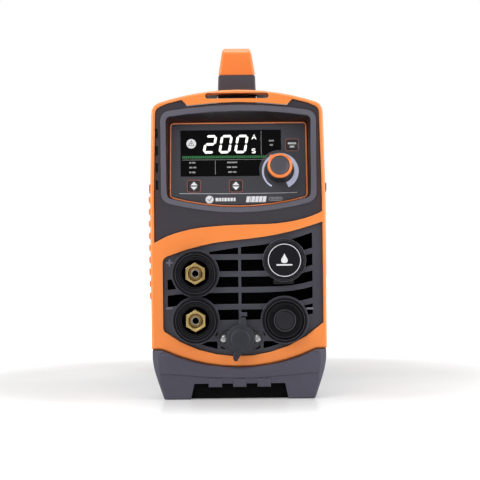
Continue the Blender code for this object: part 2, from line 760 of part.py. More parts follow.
def build_grille():
    outline = inset(lower_opening(), GAP)
    back = GRILLE_FACE + GRILLE_SHEET
    grille = front_prism("front_grille", [outline], GRILLE_FACE, back, CHARCOAL)
    near = GRILLE_FACE - 6
    far = back + 6
    left_end = CENTRE_X - CENTRE_RIB / 2
    right_start = CENTRE_X + CENTRE_RIB / 2
    for i, (lower, upper) in enumerate(zip(RIB_HEIGHTS, RIB_HEIGHTS[1:])):
        cut(grille,
            front_prism("slot_left_%d" % i, [slot_loop(lower, upper, RIB_STARTS[i], left_end)], near, far),
            front_prism("slot_right_%d" % i, [slot_loop(lower, upper, right_start, PILLAR_X)], near, far),
            solver="MANIFOLD")
    top = rib_line(RIB_HEIGHTS[-1], RIB / 2, right_start, PILLAR_X)
    edge = [(PILLAR_X, 136), (42.7, 130), (21.7, 126.4), (right_start, 124.5)]
    cut(grille, front_prism("slot_top_right", [top + edge], near, far), solver="MANIFOLD")
    top = rib_line(RIB_HEIGHTS[-1], RIB / 2, -24, left_end, 3)
    cut(grille, front_prism("slot_top_left", [top + [(left_end, 124.2), (-24, 120.6)]], near, far),
        solver="MANIFOLD")
    cut(grille, front_prism("slot_foot", [rounded([(-16, 40.4), (18, 40.4), (15.5, 56), (-13.5, 56)], 3, 2)],
                            near, far), solver="MANIFOLD")
    for side, name in ((-1, "left"), (1, "right")):
        upper = [(18.9, 51.5), (27, 51.5), (24, 59.6), (18.9, 59.6)]
        lower = [(18.9, 40.9), (26, 42.6), (33, 45), (33, 47), (18.9, 47)]
        for kind, loop in (("upper", upper), ("lower", lower)):
            placed = [(REMOTE_AT[0] + side * x, z) for x, z in loop]
            cut(grille, front_prism("slot_%s_%s" % (kind, name), [placed], near, far), solver="MANIFOLD")
    boss_back = -FRONT - back + 0.6
    sockets = (("plus", PLUS_AT), ("minus", MINUS_AT), ("torch", TORCH_AT))
    for name, spot in sockets:
        at = (spot[0], 0, spot[1])
        join(grille, solid("boss_" + name, BOSS_RADIUS, boss_back, -FRONT - BOSS_FRONT, at, "front", steps=28),
             solver="MANIFOLD")
    at = (BADGE_AT[0], 0, BADGE_AT[1])
    join(grille, solid("boss_badge", BADGE_BOSS, boss_back, -FRONT - BADGE_FRONT, at, "front", steps=28),
         solver="MANIFOLD")
    join(grille, front_prism("remote_plate", [flange_outline(3)], GRILLE_FACE + 0.5, back + 0.5),
         solver="MANIFOLD")
    for name, spot in sockets:
        at = (spot[0], 0, spot[1])
        cut(grille, solid("hole_" + name, BARREL_RADIUS + GAP, -FRONT - far, -FRONT - near, at, "front"),
            solver="MANIFOLD")
    at = (BADGE_AT[0], 0, BADGE_AT[1])
    cut(grille, solid("badge_seat", BADGE_RADIUS + GAP, -FRONT - BADGE_FRONT - 1.5, -FRONT, at, "front", steps=28),
        solver="MANIFOLD")
    at = (REMOTE_AT[0], 0, REMOTE_AT[1])
    strap_depth = GRILLE_FACE - GAP - FLANGE_SHEET - 3.2
    middle = REMOTE_AT[0] + STRAP_X
    join(grille, box("strap_lug", (middle - STRAP_HALF, FRONT + strap_depth - 1, HINGE_Z + 1 + GAP),
                     (middle + STRAP_HALF, FRONT + GRILLE_FACE + 1, HINGE_Z + 4 + GAP)), solver="MANIFOLD")
    cut(grille, solid("remote_hole", REMOTE_BARREL + GAP, -FRONT - far, -FRONT, at, "front", steps=24),
        solver="MANIFOLD")
    for side in (-1, 1):
        spot = (REMOTE_AT[0] + side * REMOTE_SCREW_X, 0, REMOTE_AT[1])
        cut(grille, solid("remote_screw_hole_%d" % side, 1.5 + GAP, -FRONT - far, -FRONT, spot, "front", steps=10),
            solver="MANIFOLD")
    turned("badge_disc", [(0, 0), (BADGE_RADIUS, 0), (BADGE_RADIUS, 1.6), (BADGE_RADIUS - 0.7, 2.2), (0, 2.2)],
           (BADGE_AT[0], FRONT + BADGE_FRONT + 1.5 - GAP, BADGE_AT[1]), "front", BLACK, steps=28)


# ---------- sockets ----------

def socket_body(name, spot, recess, step_radius):
    """Turned body of a socket: collar, stepped recess and a barrel behind the grille."""
    front = BOSS_FRONT - SOCKET_FRONT
    back = BOSS_FRONT - SOCKET_BACK
    bore = SHANK_RADIUS + GAP
    profile = [(SOCKET_RADIUS - 1.2, front), (SOCKET_RADIUS, front - 1.2), (SOCKET_RADIUS, GAP),
               (BARREL_RADIUS, GAP), (BARREL_RADIUS, back), (bore, back), (bore, -6),
               (step_radius, -6), (step_radius, front - 4), (recess, front - 4), (recess, front)]
    turned(name, profile, (spot[0], FRONT + BOSS_FRONT, spot[1]), "front", BLACK, steps=24, ring=True)


def socket_insert(name, spot, finish=BRASS):
    """Hexagonal brass head with a deep bore, and a shank through the socket."""
    at = (spot[0], FRONT + BOSS_FRONT, spot[1])
    corner = HEX_ACROSS / math.sqrt(3)
    head = turned(name, [(0, -6 + GAP), (corner, -6 + GAP), (corner, 2.8), (corner - 1, 3.8), (0, 3.8)],
                  at, "front", finish, steps=6)
    shank = solid(name + "_shank", SHANK_RADIUS, BOSS_FRONT - INSERT_BACK, -5, at, "front", steps=16)
    join(head, shank)
    cut(head, solid(name + "_bore", BORE_RADIUS, -24, 8, at, "front", steps=16))


def build_sockets():
    recess = SOCKET_RADIUS - 3
    step_radius = HEX_ACROSS / math.sqrt(3) + 1.2
    for name, spot in (("plus", PLUS_AT), ("minus", MINUS_AT), ("torch", TORCH_AT)):
        socket_body(name + "_socket_body", spot, recess, step_radius)
    socket_insert("plus_socket_insert", PLUS_AT)
    socket_insert("minus_socket_insert", MINUS_AT)
    socket_insert("torch_connector", TORCH_AT)
    front = BOSS_FRONT - SOCKET_FRONT
    at = (TORCH_AT[0], FRONT + BOSS_FRONT, TORCH_AT[1])
    grip = recess - 0.8
    plug = BORE_RADIUS - GAP
    turned("torch_cap", [(0, -5), (plug, -5), (plug, 3.8 + GAP), (grip, 3.8 + GAP), (grip, 4.9),
                         (CAP_RADIUS, 5.4), (CAP_RADIUS - 0.6, front - 0.6), (CAP_RADIUS - 3.2, front + 0.4), (0, front + 0.8)],
           at, "front", RUBBER, steps=28)


def flange_outline(grow=0.0):
    """Oval flange: a circle with two rounded ears."""
    cx, cz = REMOTE_AT
    ear = FLANGE_HALF - 3.6
    points = arc((cx + ear, cz), 3.6 + grow, -62, 62, 4) + arc((cx, cz), FLANGE_TALL + grow, 62, 118, 4)
    points += arc((cx - ear, cz), 3.6 + grow, 118, 242, 4) + arc((cx, cz), FLANGE_TALL + grow, 242, 298, 4)
    return points


def build_remote():
    cx, cz = REMOTE_AT
    back = GRILLE_FACE - GAP
    flange = front_prism("remote_socket", [flange_outline()], back - FLANGE_SHEET, back, STEEL)
    at = (cx, FRONT + back - FLANGE_SHEET, cz)
    for side, name in ((-1, "left"), (1, "right")):
        spot = (cx + side * REMOTE_SCREW_X, FRONT + back - FLANGE_SHEET, cz)
        cut(flange, solid("flange_hole_" + name, 1.5 + GAP, -FLANGE_SHEET - 2, 2, spot, "front", steps=10))
        head = turned("remote_screw_" + name, [(0, -9), (1.5, -9), (1.5, GAP), (REMOTE_SCREW_HEAD, GAP),
                                               (REMOTE_SCREW_HEAD - 0.3, 1.1), (1.8, 1.7), (0, 1.8)],
                      spot, "front", STEEL, steps=16)
        for turn in (0, 90):
            slot = box("drive_%s_%d" % (name, turn), (-1.6, -2.4, -0.35), (1.6, -1, 0.35), None, None, spot)
            slot.rotation_euler = (0, math.radians(turn + 20), 0)
            cut(head, slot)
    inner = REMOTE_BARREL - 1.6
    cut(flange, solid("remote_bore", inner + 0.8, -9, 9, at, "front", steps=24))
    join(flange, turned("remote_barrel", [(0, -20), (REMOTE_BARREL, -20), (REMOTE_BARREL, REMOTE_LENGTH - 1),
                                          (REMOTE_BARREL - 1, REMOTE_LENGTH), (inner, REMOTE_LENGTH), (inner, -6),
                                          (0, -6)], at, "front", steps=24))
    build_dust_cap(cx, cz, back)


def build_dust_cap(cx, cz, back):
    """Cup over the remote socket, on a strap that bends at its anchor; the empty is on the bend."""
    rim = back - FLANGE_SHEET - 2.3
    strap_depth = rim - 0.9
    bend = bpy.data.objects.new("dust_cap_bend", None)
    bend.location = (cx * MM, (FRONT + strap_depth) * MM, HINGE_Z * MM)
    PARTS.objects.link(bend)
    drop = cz - HINGE_Z
    outer = DUST_INNER + DUST_WALL
    low = strap_depth - rim
    inner_face = strap_depth - 3.4
    front = strap_depth
    cap = turned("dust_cap", [(0, inner_face), (DUST_INNER, inner_face), (DUST_INNER, low), (outer, low),
                              (outer, front - 1.8), (outer - 0.9, front - 0.9), (7.6, front - 0.9),
                              (7.2, front), (0, front)], (0, 0, drop), "front", RUBBER, bend, 28)
    strap = rectangle((STRAP_X - STRAP_HALF, drop + outer - 1.6), (STRAP_X + STRAP_HALF, 1))
    join(cap, prism("dust_strap", [strap], "front", -STRAP_DEPTH / 2, STRAP_DEPTH / 2, None, bend))
    tab = [(-5.4, drop - 14.5)] + arc((-3.5, drop - 16.2), 1.9, 180, 340, 6) + [(0.5, drop - 13.5)]
    tab += arc((0, drop), outer - 0.6, -58, -122, 6)
    join(cap, prism("dust_tab", [tab], "front", -1.1, 0.7, None, bend))


# ---------- bumpers ----------

def bumper_outline():
    """The bumper's outline under the frame's arched edge."""
    top = [(x, z - GAP) for x, z in band_foot()]
    shoulder = BAND_SIDE - GAP
    right = rounded([(BUMPER_HALF, shoulder), (BUMPER_HALF, BUMPER_TURN), (BUMPER_FOOT_HALF, 0), (0, 0)],
                    [0, BUMPER_BULGE, 2.5, 0], 4)[:-1]
    left = [(-x, z) for x, z in right]
    return top + right + list(reversed(left))


def bumper_hollow():
    """Inside of a bumper, open above."""
    wall = BUMPER_WALL
    right = [(BUMPER_HALF - wall, 60), (BUMPER_HALF - wall, BUMPER_TURN),
             (BUMPER_FOOT_HALF - wall + 0.8, 3)]
    return right[::-1] + [(-x, z) for x, z in right]


def cutout_outline(tabs):
    top = [(-CUTOUT_HALF, CUTOUT_TOP)]
    if tabs:
        for i in (-1, 0, 1):
            middle = i * TAB_PITCH
            half = TAB_WIDTH / 2
            drop = CUTOUT_TOP - TAB_DROP
            top += [(middle - half, CUTOUT_TOP), (middle - half, drop), (middle + half, drop),
                    (middle + half, CUTOUT_TOP)]
    top += [(CUTOUT_HALF, CUTOUT_TOP), (CUTOUT_HALF + CUTOUT_SPLAY, -5), (-CUTOUT_HALF - CUTOUT_SPLAY, -5)]
    return top


def build_bumper(name, near, far, face_near):
    item = front_prism(name, [bumper_outline()], near, far, CHARCOAL, edge=1.2)
    if face_near:
        hollow_near, hollow_far = near + BUMPER_FRONT_WALL, far + 5
        cut_near, cut_far = near - 5, near + 30
    else:
        hollow_near, hollow_far = near - 5, far - BUMPER_FRONT_WALL
        cut_near, cut_far = far - 30, far + 5
    cut(item, front_prism(name + "_hollow", [bumper_hollow()], hollow_near, hollow_far),
        front_prism(name + "_cutout", [cutout_outline(face_near)], cut_near, cut_far))
    face, away, back = (near, 1, far) if face_near else (far, -1, near)
    run = BUMPER_CHAMFER / BUMPER_CHAMFER_DEPTH
    for side in (-1, 1):
        loop = [(side * x, FRONT + face + away * depth) for x, depth in (
            (BUMPER_HALF - BUMPER_CHAMFER - run, -1), (BUMPER_HALF + run, BUMPER_CHAMFER_DEPTH + 1),
            (BUMPER_HALF + 4, BUMPER_CHAMFER_DEPTH + 1), (BUMPER_HALF + 4, -1))]
        cut(item, prism("%s_chamfer_%d" % (name, side), [loop], "top", -5, BAND_SIDE + 5))
    reach = BUMPER_FOOT_HALF - BUMPER_WALL - 3
    ends = sorted((FRONT + back, FRONT + back - away * 3))
    join(item, box(name + "_sill", (-reach, ends[0], 2), (reach, ends[1], BUMPER_SILL)))


# ---------- case ----------

def cover_half(height):
    return side_at(height) - FRAME_WALL - COVER_CLEARANCE


def cover_line(shrink):
    """Half of the cover's section, from its foot to the middle of the top."""
    low = (cover_half(COVER_FOOT) - shrink, COVER_FOOT)
    turn = (cover_half(TAPER_FROM) - shrink, TAPER_FROM)
    corner = (cover_half(COVER_TOP) - shrink, COVER_TOP - shrink)
    return rounded([low, turn, corner, (0, COVER_TOP - shrink)], [0, 0, 14 - shrink, 0], 5)


def build_cover():
    outer = cover_line(0)
    inner = cover_line(COVER_SHEET)
    right = outer[:-1]
    loop = right + [(-x, z) for x, z in reversed(right)]
    inside = inner[:-1]
    loop += [(-x, z) for x, z in inside] + [(x, z) for x, z in reversed(inside)]
    end = REAR_FACE - FRAME_PLATE - 1
    cover = front_prism("case_cover", [loop], COVER_START, end, SHEET)
    bm = bmesh.new()
    for i in range(LOUVRES):
        low = LOUVRE_FIRST + i * LOUVRE_PITCH
        made = bmesh.ops.create_cube(bm, size=1)["verts"]
        for vertex in made:
            vertex.co.x *= 200
            vertex.co.y = FRONT + LOUVRE_START + (vertex.co.y + 0.5) * LOUVRE_LENGTH
            vertex.co.z = low + (vertex.co.z + 0.5) * LOUVRE_HEIGHT
    cut(cover, mesh_object("cover_louvres", bm, smoothed=False),
        screw_hole("cover_hole_front", FRAME_FACE + SIDE_SCREW_INSET),
        screw_hole("cover_hole_rear", REAR_FACE - SIDE_SCREW_INSET))


def build_tray():
    side = cover_half(COVER_FOOT) - COVER_SHEET - GAP
    outer = [(TRAY_FLOOR_HALF, TRAY_FLOOR), (side, COVER_FOOT), (side, COVER_FOOT + 26)]
    inner = [(side - TRAY_SHEET, COVER_FOOT + 26), (side - TRAY_SHEET, COVER_FOOT + 0.3),
             (TRAY_FLOOR_HALF - 0.9, TRAY_FLOOR + TRAY_SHEET)]
    right = outer + inner
    loop = right + [(-x, z) for x, z in reversed(right)]
    front_prism("base_tray", [loop], TRAY_START, REAR_FACE - FRAME_PLATE - 6, ZINC)


def build_side_screws():
    stations = (("front", FRAME_FACE + SIDE_SCREW_INSET), ("rear", REAR_FACE - SIDE_SCREW_INSET))
    for end, depth in stations:
        for side, facing in (("left", "left"), ("right", "right")):
            sign = -1 if side == "left" else 1
            surface = side_at(SIDE_SCREW_Z)
            reach = SIDE_HALF + SIDE_SCREW_PROUD - surface
            at = (sign * surface, FRONT + depth, SIDE_SCREW_Z)
            screw = turned("side_screw_%s_%s" % (end, side),
                           [(0, -7), (2, -7), (2, GAP), (SIDE_SCREW_HEAD, GAP), (SIDE_SCREW_HEAD, reach - 0.7),
                            (SIDE_SCREW_HEAD - 0.7, reach), (0, reach)], at, facing, BLACK, steps=16)
            middle = sign * (surface + reach)
            cut(screw, box("screw_slot_%s_%s" % (end, side),
                           (middle - 1, FRONT + depth - 3, SIDE_SCREW_Z - 0.6),
                           (middle + 1, FRONT + depth + 3, SIDE_SCREW_Z + 0.6)))


# ---------- handle ----------

def handle_line(ends, offset, steps=12):
    """The arched line where the handle's two shells meet, from the front foot to the rear one."""
    inner_start, inner_end = ends
    middle = (inner_start + inner_end) / 2
    half = (inner_end - inner_start) / 2
    made = []
    for i in range(steps + 1):
        t = 2 * i / steps - 1
        made.append((middle + half * t, HANDLE_SPLIT + offset + HANDLE_LIFT * (1 - t ** 4)))
    return made


def narrowed(item, low, high, wide, slim):
    """Tapers a piece across its width between two heights."""
    for vertex in item.data.vertices:
        share = (vertex.co.z / MM - low) / (high - low)
        vertex.co.x *= 1 - (1 - slim / wide) * max(0.0, share)


def build_handle():
    foot = COVER_TOP + GAP
    start = FRONT + HANDLE_START
    end = FRONT + FRAME_FACE + REAR_FACE - HANDLE_START
    ends = (start + HANDLE_FOOT, end - HANDLE_FOOT)
    under = handle_line(ends, -HANDLE_BAR)
    base_loop = [(start, foot), (ends[0], foot)] + under + [(ends[1], foot), (end, foot), (end, HANDLE_SPLIT)]
    base_loop += list(reversed(handle_line(ends, 0))) + [(start, HANDLE_SPLIT)]
    half = HANDLE_BASE_WIDTH / 2
    base = prism("handle_base", [base_loop], "side", -half, half, CHARCOAL, edge=1)
    narrowed(base, foot, HANDLE_SPLIT, HANDLE_BASE_WIDTH, HANDLE_LOW_WIDTH)
    low = HANDLE_SPLIT + GAP
    top = [(start + (end - start) * t, HANDLE_TOP - HANDLE_CROWN * abs(2 * t - 1) ** 4)
           for t in (0.975, 0.8, 0.65, 0.5, 0.35, 0.2, 0.025)]
    ends_up = [(end, low), (end - 1.5, HANDLE_TOP - 4.5), top[0]]
    starts_down = [top[-1], (start + 1.5, HANDLE_TOP - 4.5), (start, low)]
    grip_loop = handle_line(ends, GAP) + rounded(ends_up, [0, 4, 0], 3) + top[1:-1]
    grip_loop += rounded(starts_down, [0, 4, 0], 3)
    half = HANDLE_LOW_WIDTH / 2
    grip = prism("handle_grip", [grip_loop], "side", -half, half, ORANGE, edge=1.8)
    narrowed(grip, low, HANDLE_TOP, HANDLE_LOW_WIDTH, HANDLE_TOP_WIDTH)


# ---------- rear ----------

def build_rear_frame():
    frame = frame_shell("rear_frame", REAR_START, REAR_FACE, ORANGE, plate_near=False)
    cut(frame,
        front_prism("rear_opening", [rear_opening()], REAR_FACE - 9, REAR_FACE + 4),
        handle_notch("rear_notch", REAR_START - 5, FRAME_FACE + REAR_FACE - HANDLE_START + GAP),
        screw_hole("rear_screw_hole", REAR_FACE - SIDE_SCREW_INSET))


def rear_opening():
    half = SIDE_HALF - PANEL_MARGIN
    foot = band_foot(PANEL_MARGIN, half)
    return foot[1:-1] + rounded([foot[-1], (half, 236), (-half, 236), foot[0]], [0, 9, 9, 0], 4)


def build_rear_panel():
    near = REAR_FACE - REAR_SHEET - 1
    far = REAR_FACE - 1
    panel = front_prism("rear_panel", [inset(rear_opening(), GAP)], near, far, CHARCOAL)
    bm = bmesh.new()
    count = int(2 * GUARD_RADIUS / GUARD_PITCH)
    for i in range(count):
        level = (i - (count - 1) / 2) * GUARD_PITCH
        reach = math.sqrt(GUARD_RADIUS ** 2 - level ** 2)
        for side in (-1, 1):
            made = bmesh.ops.create_cube(bm, size=1)["verts"]
            for vertex in made:
                vertex.co.x = side * (2 + (vertex.co.x + 0.5) * (reach - 2))
                vertex.co.y = FRONT + far + vertex.co.y * 20
                vertex.co.z = FAN_Z + level + vertex.co.z * GUARD_SLOT
    bmesh.ops.recalc_face_normals(bm, faces=bm.faces)
    cut(panel, mesh_object("fan_slots", bm, smoothed=False),
        solid("gland_hole", GLAND_RADIUS - 2 + GAP, near - 5, far + 5, (GLAND_AT[0], FRONT, GLAND_AT[1]), "back"),
        solid("gas_hole", GAS_RADIUS - 1 + GAP, near - 5, far + 5, (GAS_AT[0], FRONT, GAS_AT[1]), "back"),
        box("switch_hole", (SWITCH_AT[0] - SWITCH_HALF[0] - GAP, FRONT + near - 5, SWITCH_AT[1] - SWITCH_HALF[1] - GAP),
            (SWITCH_AT[0] + SWITCH_HALF[0] + GAP, FRONT + far + 5, SWITCH_AT[1] + SWITCH_HALF[1] + GAP)))


def build_switch():
    """Rocker switch: a body with a deep well, and a rocker that tips about its middle."""
    x, z = SWITCH_AT
    far = REAR_FACE - 1
    half_x, half_z = SWITCH_HALF
    body = box("power_switch_body", (x - half_x, FRONT + far - 22, z - half_z),
               (x + half_x, FRONT + far - 0.2, z + half_z), BLACK)
    rim = front_prism("switch_rim", [rounded(rectangle((x - half_x - 2, z - half_z - 2),
                                                       (x + half_x + 2, z + half_z + 2)), 2, 2)],
                      far + GAP, far + 2.2)
    neck = box("switch_neck", (x - half_x, FRONT + far - 1, z - half_z), (x + half_x, FRONT + far + 1, z + half_z))
    join(body, neck, rim)
    well_x = half_x - 2
    well_z = half_z - 1.6
    cut(body, box("switch_well", (x - well_x, FRONT + far - 9, z - well_z), (x + well_x, FRONT + far + 5, z + well_z)))
    pivot = bpy.data.objects.new("rocker_pivot", None)
    pivot.location = (x * MM, (FRONT + far - 1.5) * MM, z * MM)
    pivot.rotation_euler = (math.radians(10), 0, 0)
    PARTS.objects.link(pivot)
    reach = well_z - 0.6
    loop = [(-3, -4.5), (-3, 4.5), (1, reach - 0.8), (4.4, reach - 1), (2.6, 0), (4.4, 1 - reach), (1, 0.8 - reach)]
    prism("power_switch_rocker", [loop], "side", -well_x + GAP, well_x - GAP, BLACK, pivot)


def build_rear_fittings():
    near = REAR_FACE - REAR_SHEET - 1
    x, z = GLAND_AT
    at = (x, FRONT + REAR_FACE - 1, z)
    neck = GLAND_RADIUS - 2
    turned("cable_gland", [(4, -12), (neck, -12), (neck, GAP), (GLAND_RADIUS + 1, GAP), (GLAND_RADIUS + 1, 5),
                           (GLAND_RADIUS, 6), (GLAND_RADIUS, 14), (GLAND_RADIUS - 2.5, 17), (4, 17)],
           at, "back", BLACK, steps=20, ring=True)
    x, z = GAS_AT
    at = (x, FRONT + REAR_FACE - 1, z)
    neck = GAS_RADIUS - 1
    length = REAR_STICKS_OUT + 1
    turned("gas_inlet", [(2, -14), (neck, -14), (neck, GAP), (8, GAP), (8, 4), (4.6, 5), (4.6, 9), (5.4, 10),
                         (4.2, 14), (5.4, 15), (4.2, length), (2, length)],
           at, "back", BRASS, steps=20, ring=True)
    valve_low = near - 14 - GAP - 26
    valve = box("gas_valve", (x - 11, FRONT + valve_low, z - 11), (x + 11, FRONT + near - 10.8, z + 13), ZINC)
    cut(valve, solid("valve_port", neck + GAP, -30, 20, (x, FRONT + near - 14, z), "back", steps=16))
    tube_start = FRONT + valve_low - GAP
    tx, tz = TORCH_AT
    tube_end = FRONT + INSERT_BACK + GAP
    side = 58
    wire("gas_tube", through_3d([(x, tube_start, z), (x + 1, tube_start - 12, z), (x + 8, tube_start - 30, z - 8),
                                 (side, tube_start - 60, z - 40), (side, 0, 128), (side, -80, 100),
                                 (tx + 16, tube_end + 30, tz + 6), (tx + 2, tube_end + 14, tz), (tx, tube_end, tz)], 3),
         3, HOSE)


def through_3d(points, steps):
    flat = through([(p[0], p[1]) for p in points], steps)
    tall = through([(p[1], p[2]) for p in points], steps)
    return [(a[0], a[1], b[1]) for a, b in zip(flat, tall)]


def build_fan():
    far = REAR_FACE - REAR_SHEET - 1 - GAP
    near = far - FAN_DEPTH
    half = FAN_SIDE / 2
    square = rounded(rectangle((-half, FAN_Z - half), (half, FAN_Z + half)), 5, 2)
    frame = front_prism("fan_frame", [square, circle((0, FAN_Z), FAN_BORE, 28)], near, far, BLACK)
    spokes = front_prism("fan_spokes", [rectangle((-FAN_BORE - 1, FAN_Z - 2), (FAN_BORE + 1, FAN_Z + 2))],
                         near + 0.5, near + 3)
    upright = front_prism("fan_upright", [rectangle((-2, FAN_Z - FAN_BORE - 1), (2, FAN_Z + FAN_BORE + 1))],
                          near + 0.5, near + 3)
    at = (0, FRONT + near, FAN_Z)
    hub = turned("fan_motor", [(0, 0.4), (FAN_HUB, 0.4), (FAN_HUB, 4), (3, 4), (3, 14), (0, 14)], at, "back", steps=20)
    join(frame, spokes, upright, hub)
    rotor = turned("fan_rotor", [(3 + GAP, 5), (FAN_HUB, 5), (FAN_HUB, 22.5), (FAN_HUB - 1.5, 23.5), (3 + GAP, 23.5)],
                   at, "back", BLACK, steps=20, ring=True)
    bm = bmesh.new()
    for i in range(FAN_BLADES):
        made = bmesh.ops.create_cube(bm, size=1)["verts"]
        for vertex in made:
            out = vertex.co.x > 0
            vertex.co.x = FAN_BORE - 1.5 if out else FAN_HUB - 1.5
            lean = 8 if out else 5
            along = vertex.co.z
            vertex.co.z = 14 + along * 15
            vertex.co.y = along * 2 * lean + vertex.co.y * 1.6
        spin = Matrix.Rotation(2 * math.pi * i / FAN_BLADES, 4, "Z")
        bmesh.ops.transform(bm, matrix=spin, verts=made)
    blades = mesh_object("fan_blades", bm, smoothed=False)
    blades.matrix_world = Matrix.Translation([value * MM for value in at]) @ FACING["back"]
    join(rotor, blades)


# ---------- power stage ----------

def build_power_stage():
    floor = TRAY_FLOOR + TRAY_SHEET + GAP
    low = 62
    comb = [(42, low), (-42, low), (-42, floor)]
    fins = 9
    pitch = 84 / fins
    for i in range(fins):
        left = -42 + i * pitch
        comb += [(left + 3, floor), (left + 3, low - 8), (left + pitch, low - 8), (left + pitch, floor)]
    comb = comb[:-2] + [(42, low - 8)]
    front_prism("heat_sink", [comb[::-1]], 92, 250, ALUMINIUM)
    board_low = low + GAP
    board_high = board_low + 1.6
    box("main_board", (-60, FRONT + 84, board_low), (48, FRONT + 300, board_high), BOARD)
    seat = board_high + GAP
    for name, x in (("left", -34), ("right", 4)):
        turned("capacitor_" + name, [(0, 0), (16, 0), (16, 46), (15, 47), (0, 47)], (x, FRONT + 268, seat), "up",
               BLACK, steps=20)
    near = FRONT + 160
    far = FRONT + 210
    core = box("transformer_core", (-34, near, seat), (22, far, seat + 56), CORE)
    cut(core, box("core_window_left", (-26, near - 10, seat + 10), (-15, far + 10, seat + 46)),
        box("core_window_right", (3, near - 10, seat + 10), (14, far + 10, seat + 46)))
    around = rounded(rectangle((-25.5, near - 11), (13.5, far + 11)), 8, 3)
    leg = rectangle((-15 - GAP, near - GAP), (3 + GAP, far + GAP))
    prism("transformer_winding", [around, leg], "top", seat + 10 + GAP, seat + 43, COPPER)
    turned("output_choke", [(12, 0), (26, 0), (27, 1), (27, 21), (26, 22), (12, 22), (11, 21), (11, 1)],
           (-28, FRONT + 118, seat), "up", COPPER, steps=24, ring=True)
    near = FRONT + INSERT_BACK + GAP
    thick = 2
    wide = 8
    for name, spot, far in (("minus", MINUS_AT, 86), ("plus", PLUS_AT, 87)):
        x, z = spot
        end = FRONT + far
        level = seat if name == "minus" else z - 10
        low = z - 7
        if name == "minus":
            shape = [(near, low), (near + thick, low), (near + thick, level), (end, level),
                     (end, level + thick), (near + thick, level + thick), (near + thick, z + 9), (near, z + 9)]
        else:
            shape = [(near, level), (end, level), (end, seat), (end + thick, seat),
                     (end + thick, level + thick), (near + thick, level + thick), (near + thick, z + 7), (near, z + 7)]
        prism("busbar_" + name, [shape], "side", x - wide, x + wide, COPPER)


def main():
    plane = panel_plane()
    build_front_frame()
    build_bezel(plane)
    build_panel(plane)
    build_knob(plane)
    build_grille()
    build_sockets()
    build_remote()
    build_bumper("front_bumper", BUMPER_FACE, BUMPER_BACK, True)
    build_bumper("rear_bumper", REAR_START, REAR_FACE + 2, False)
    build_cover()
    build_tray()
    build_side_screws()
    build_handle()
    build_rear_frame()
    build_rear_panel()
    build_switch()
    build_rear_fittings()
    build_fan()
    build_power_stage()


main()
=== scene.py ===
import bmesh
import bpy
import math
from mathutils import Matrix, Vector


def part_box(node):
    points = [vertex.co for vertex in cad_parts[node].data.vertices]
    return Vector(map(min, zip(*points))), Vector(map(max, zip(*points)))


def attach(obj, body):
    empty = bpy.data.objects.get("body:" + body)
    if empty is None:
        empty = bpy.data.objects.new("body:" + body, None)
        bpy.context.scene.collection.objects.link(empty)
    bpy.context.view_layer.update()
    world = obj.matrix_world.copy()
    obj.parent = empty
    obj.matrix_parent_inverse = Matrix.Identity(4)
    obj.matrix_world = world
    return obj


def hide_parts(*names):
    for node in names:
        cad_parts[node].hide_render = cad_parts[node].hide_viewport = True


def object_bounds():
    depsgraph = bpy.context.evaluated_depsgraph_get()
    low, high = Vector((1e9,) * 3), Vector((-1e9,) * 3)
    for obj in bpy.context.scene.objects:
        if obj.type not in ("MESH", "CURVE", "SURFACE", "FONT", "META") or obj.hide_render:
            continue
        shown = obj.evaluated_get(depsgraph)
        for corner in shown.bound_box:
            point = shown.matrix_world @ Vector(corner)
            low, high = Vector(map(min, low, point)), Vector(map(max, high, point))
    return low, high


# Welding machine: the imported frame, then its finishes and its fine pieces.
mm = 0.001
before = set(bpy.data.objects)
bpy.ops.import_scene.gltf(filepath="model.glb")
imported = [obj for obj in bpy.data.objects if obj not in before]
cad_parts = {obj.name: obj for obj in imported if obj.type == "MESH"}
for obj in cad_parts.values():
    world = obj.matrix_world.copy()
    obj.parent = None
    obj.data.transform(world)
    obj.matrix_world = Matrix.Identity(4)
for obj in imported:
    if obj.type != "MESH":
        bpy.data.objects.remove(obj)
cadLow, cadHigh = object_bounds()
print("frame loaded:", len(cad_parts), "nodes")
scene = bpy.context.scene


# where things are: depths are counted back from the foremost point, heights from the floor
def frontAt(depth):
    return Matrix.Translation((0, cadLow.y + depth * mm, 0)) @ Matrix.Rotation(math.radians(90), 4, "X")


def spotAt(x, z, depth):
    return Matrix.Translation((x * mm, 0, z * mm)) @ frontAt(depth)


panel = {"foot": 157, "depth": 15, "lean": 9}    # the control panel leans back from its lowest edge
panelPlace = (Matrix.Translation((0, cadLow.y + panel["depth"] * mm, panel["foot"] * mm))
              @ Matrix.Rotation(math.radians(90 - panel["lean"]), 4, "X"))
panelFace = {"window": -0.1}                     # height of the window over the panel's face


# camera in millimetres, its roll in degrees
view = {"away": 1250, "height": 130.2, "across": 1.4, "roll": 0.585, "wide": 393.6, "plane": 10}


def makeCamera():
    data = bpy.data.cameras.new("frontCamera")
    data.sensor_width = 36
    data.lens = 36 * view["away"] / view["wide"]
    data.clip_start, data.clip_end = 0.05, 20
    item = bpy.data.objects.new("frontCamera", data)
    item.location = (view["across"] * mm, cadLow.y + (view["plane"] - view["away"]) * mm, view["height"] * mm)
    item.rotation_euler = (math.radians(90), math.radians(view["roll"]), 0)
    scene.collection.objects.link(item)
    scene.camera = item


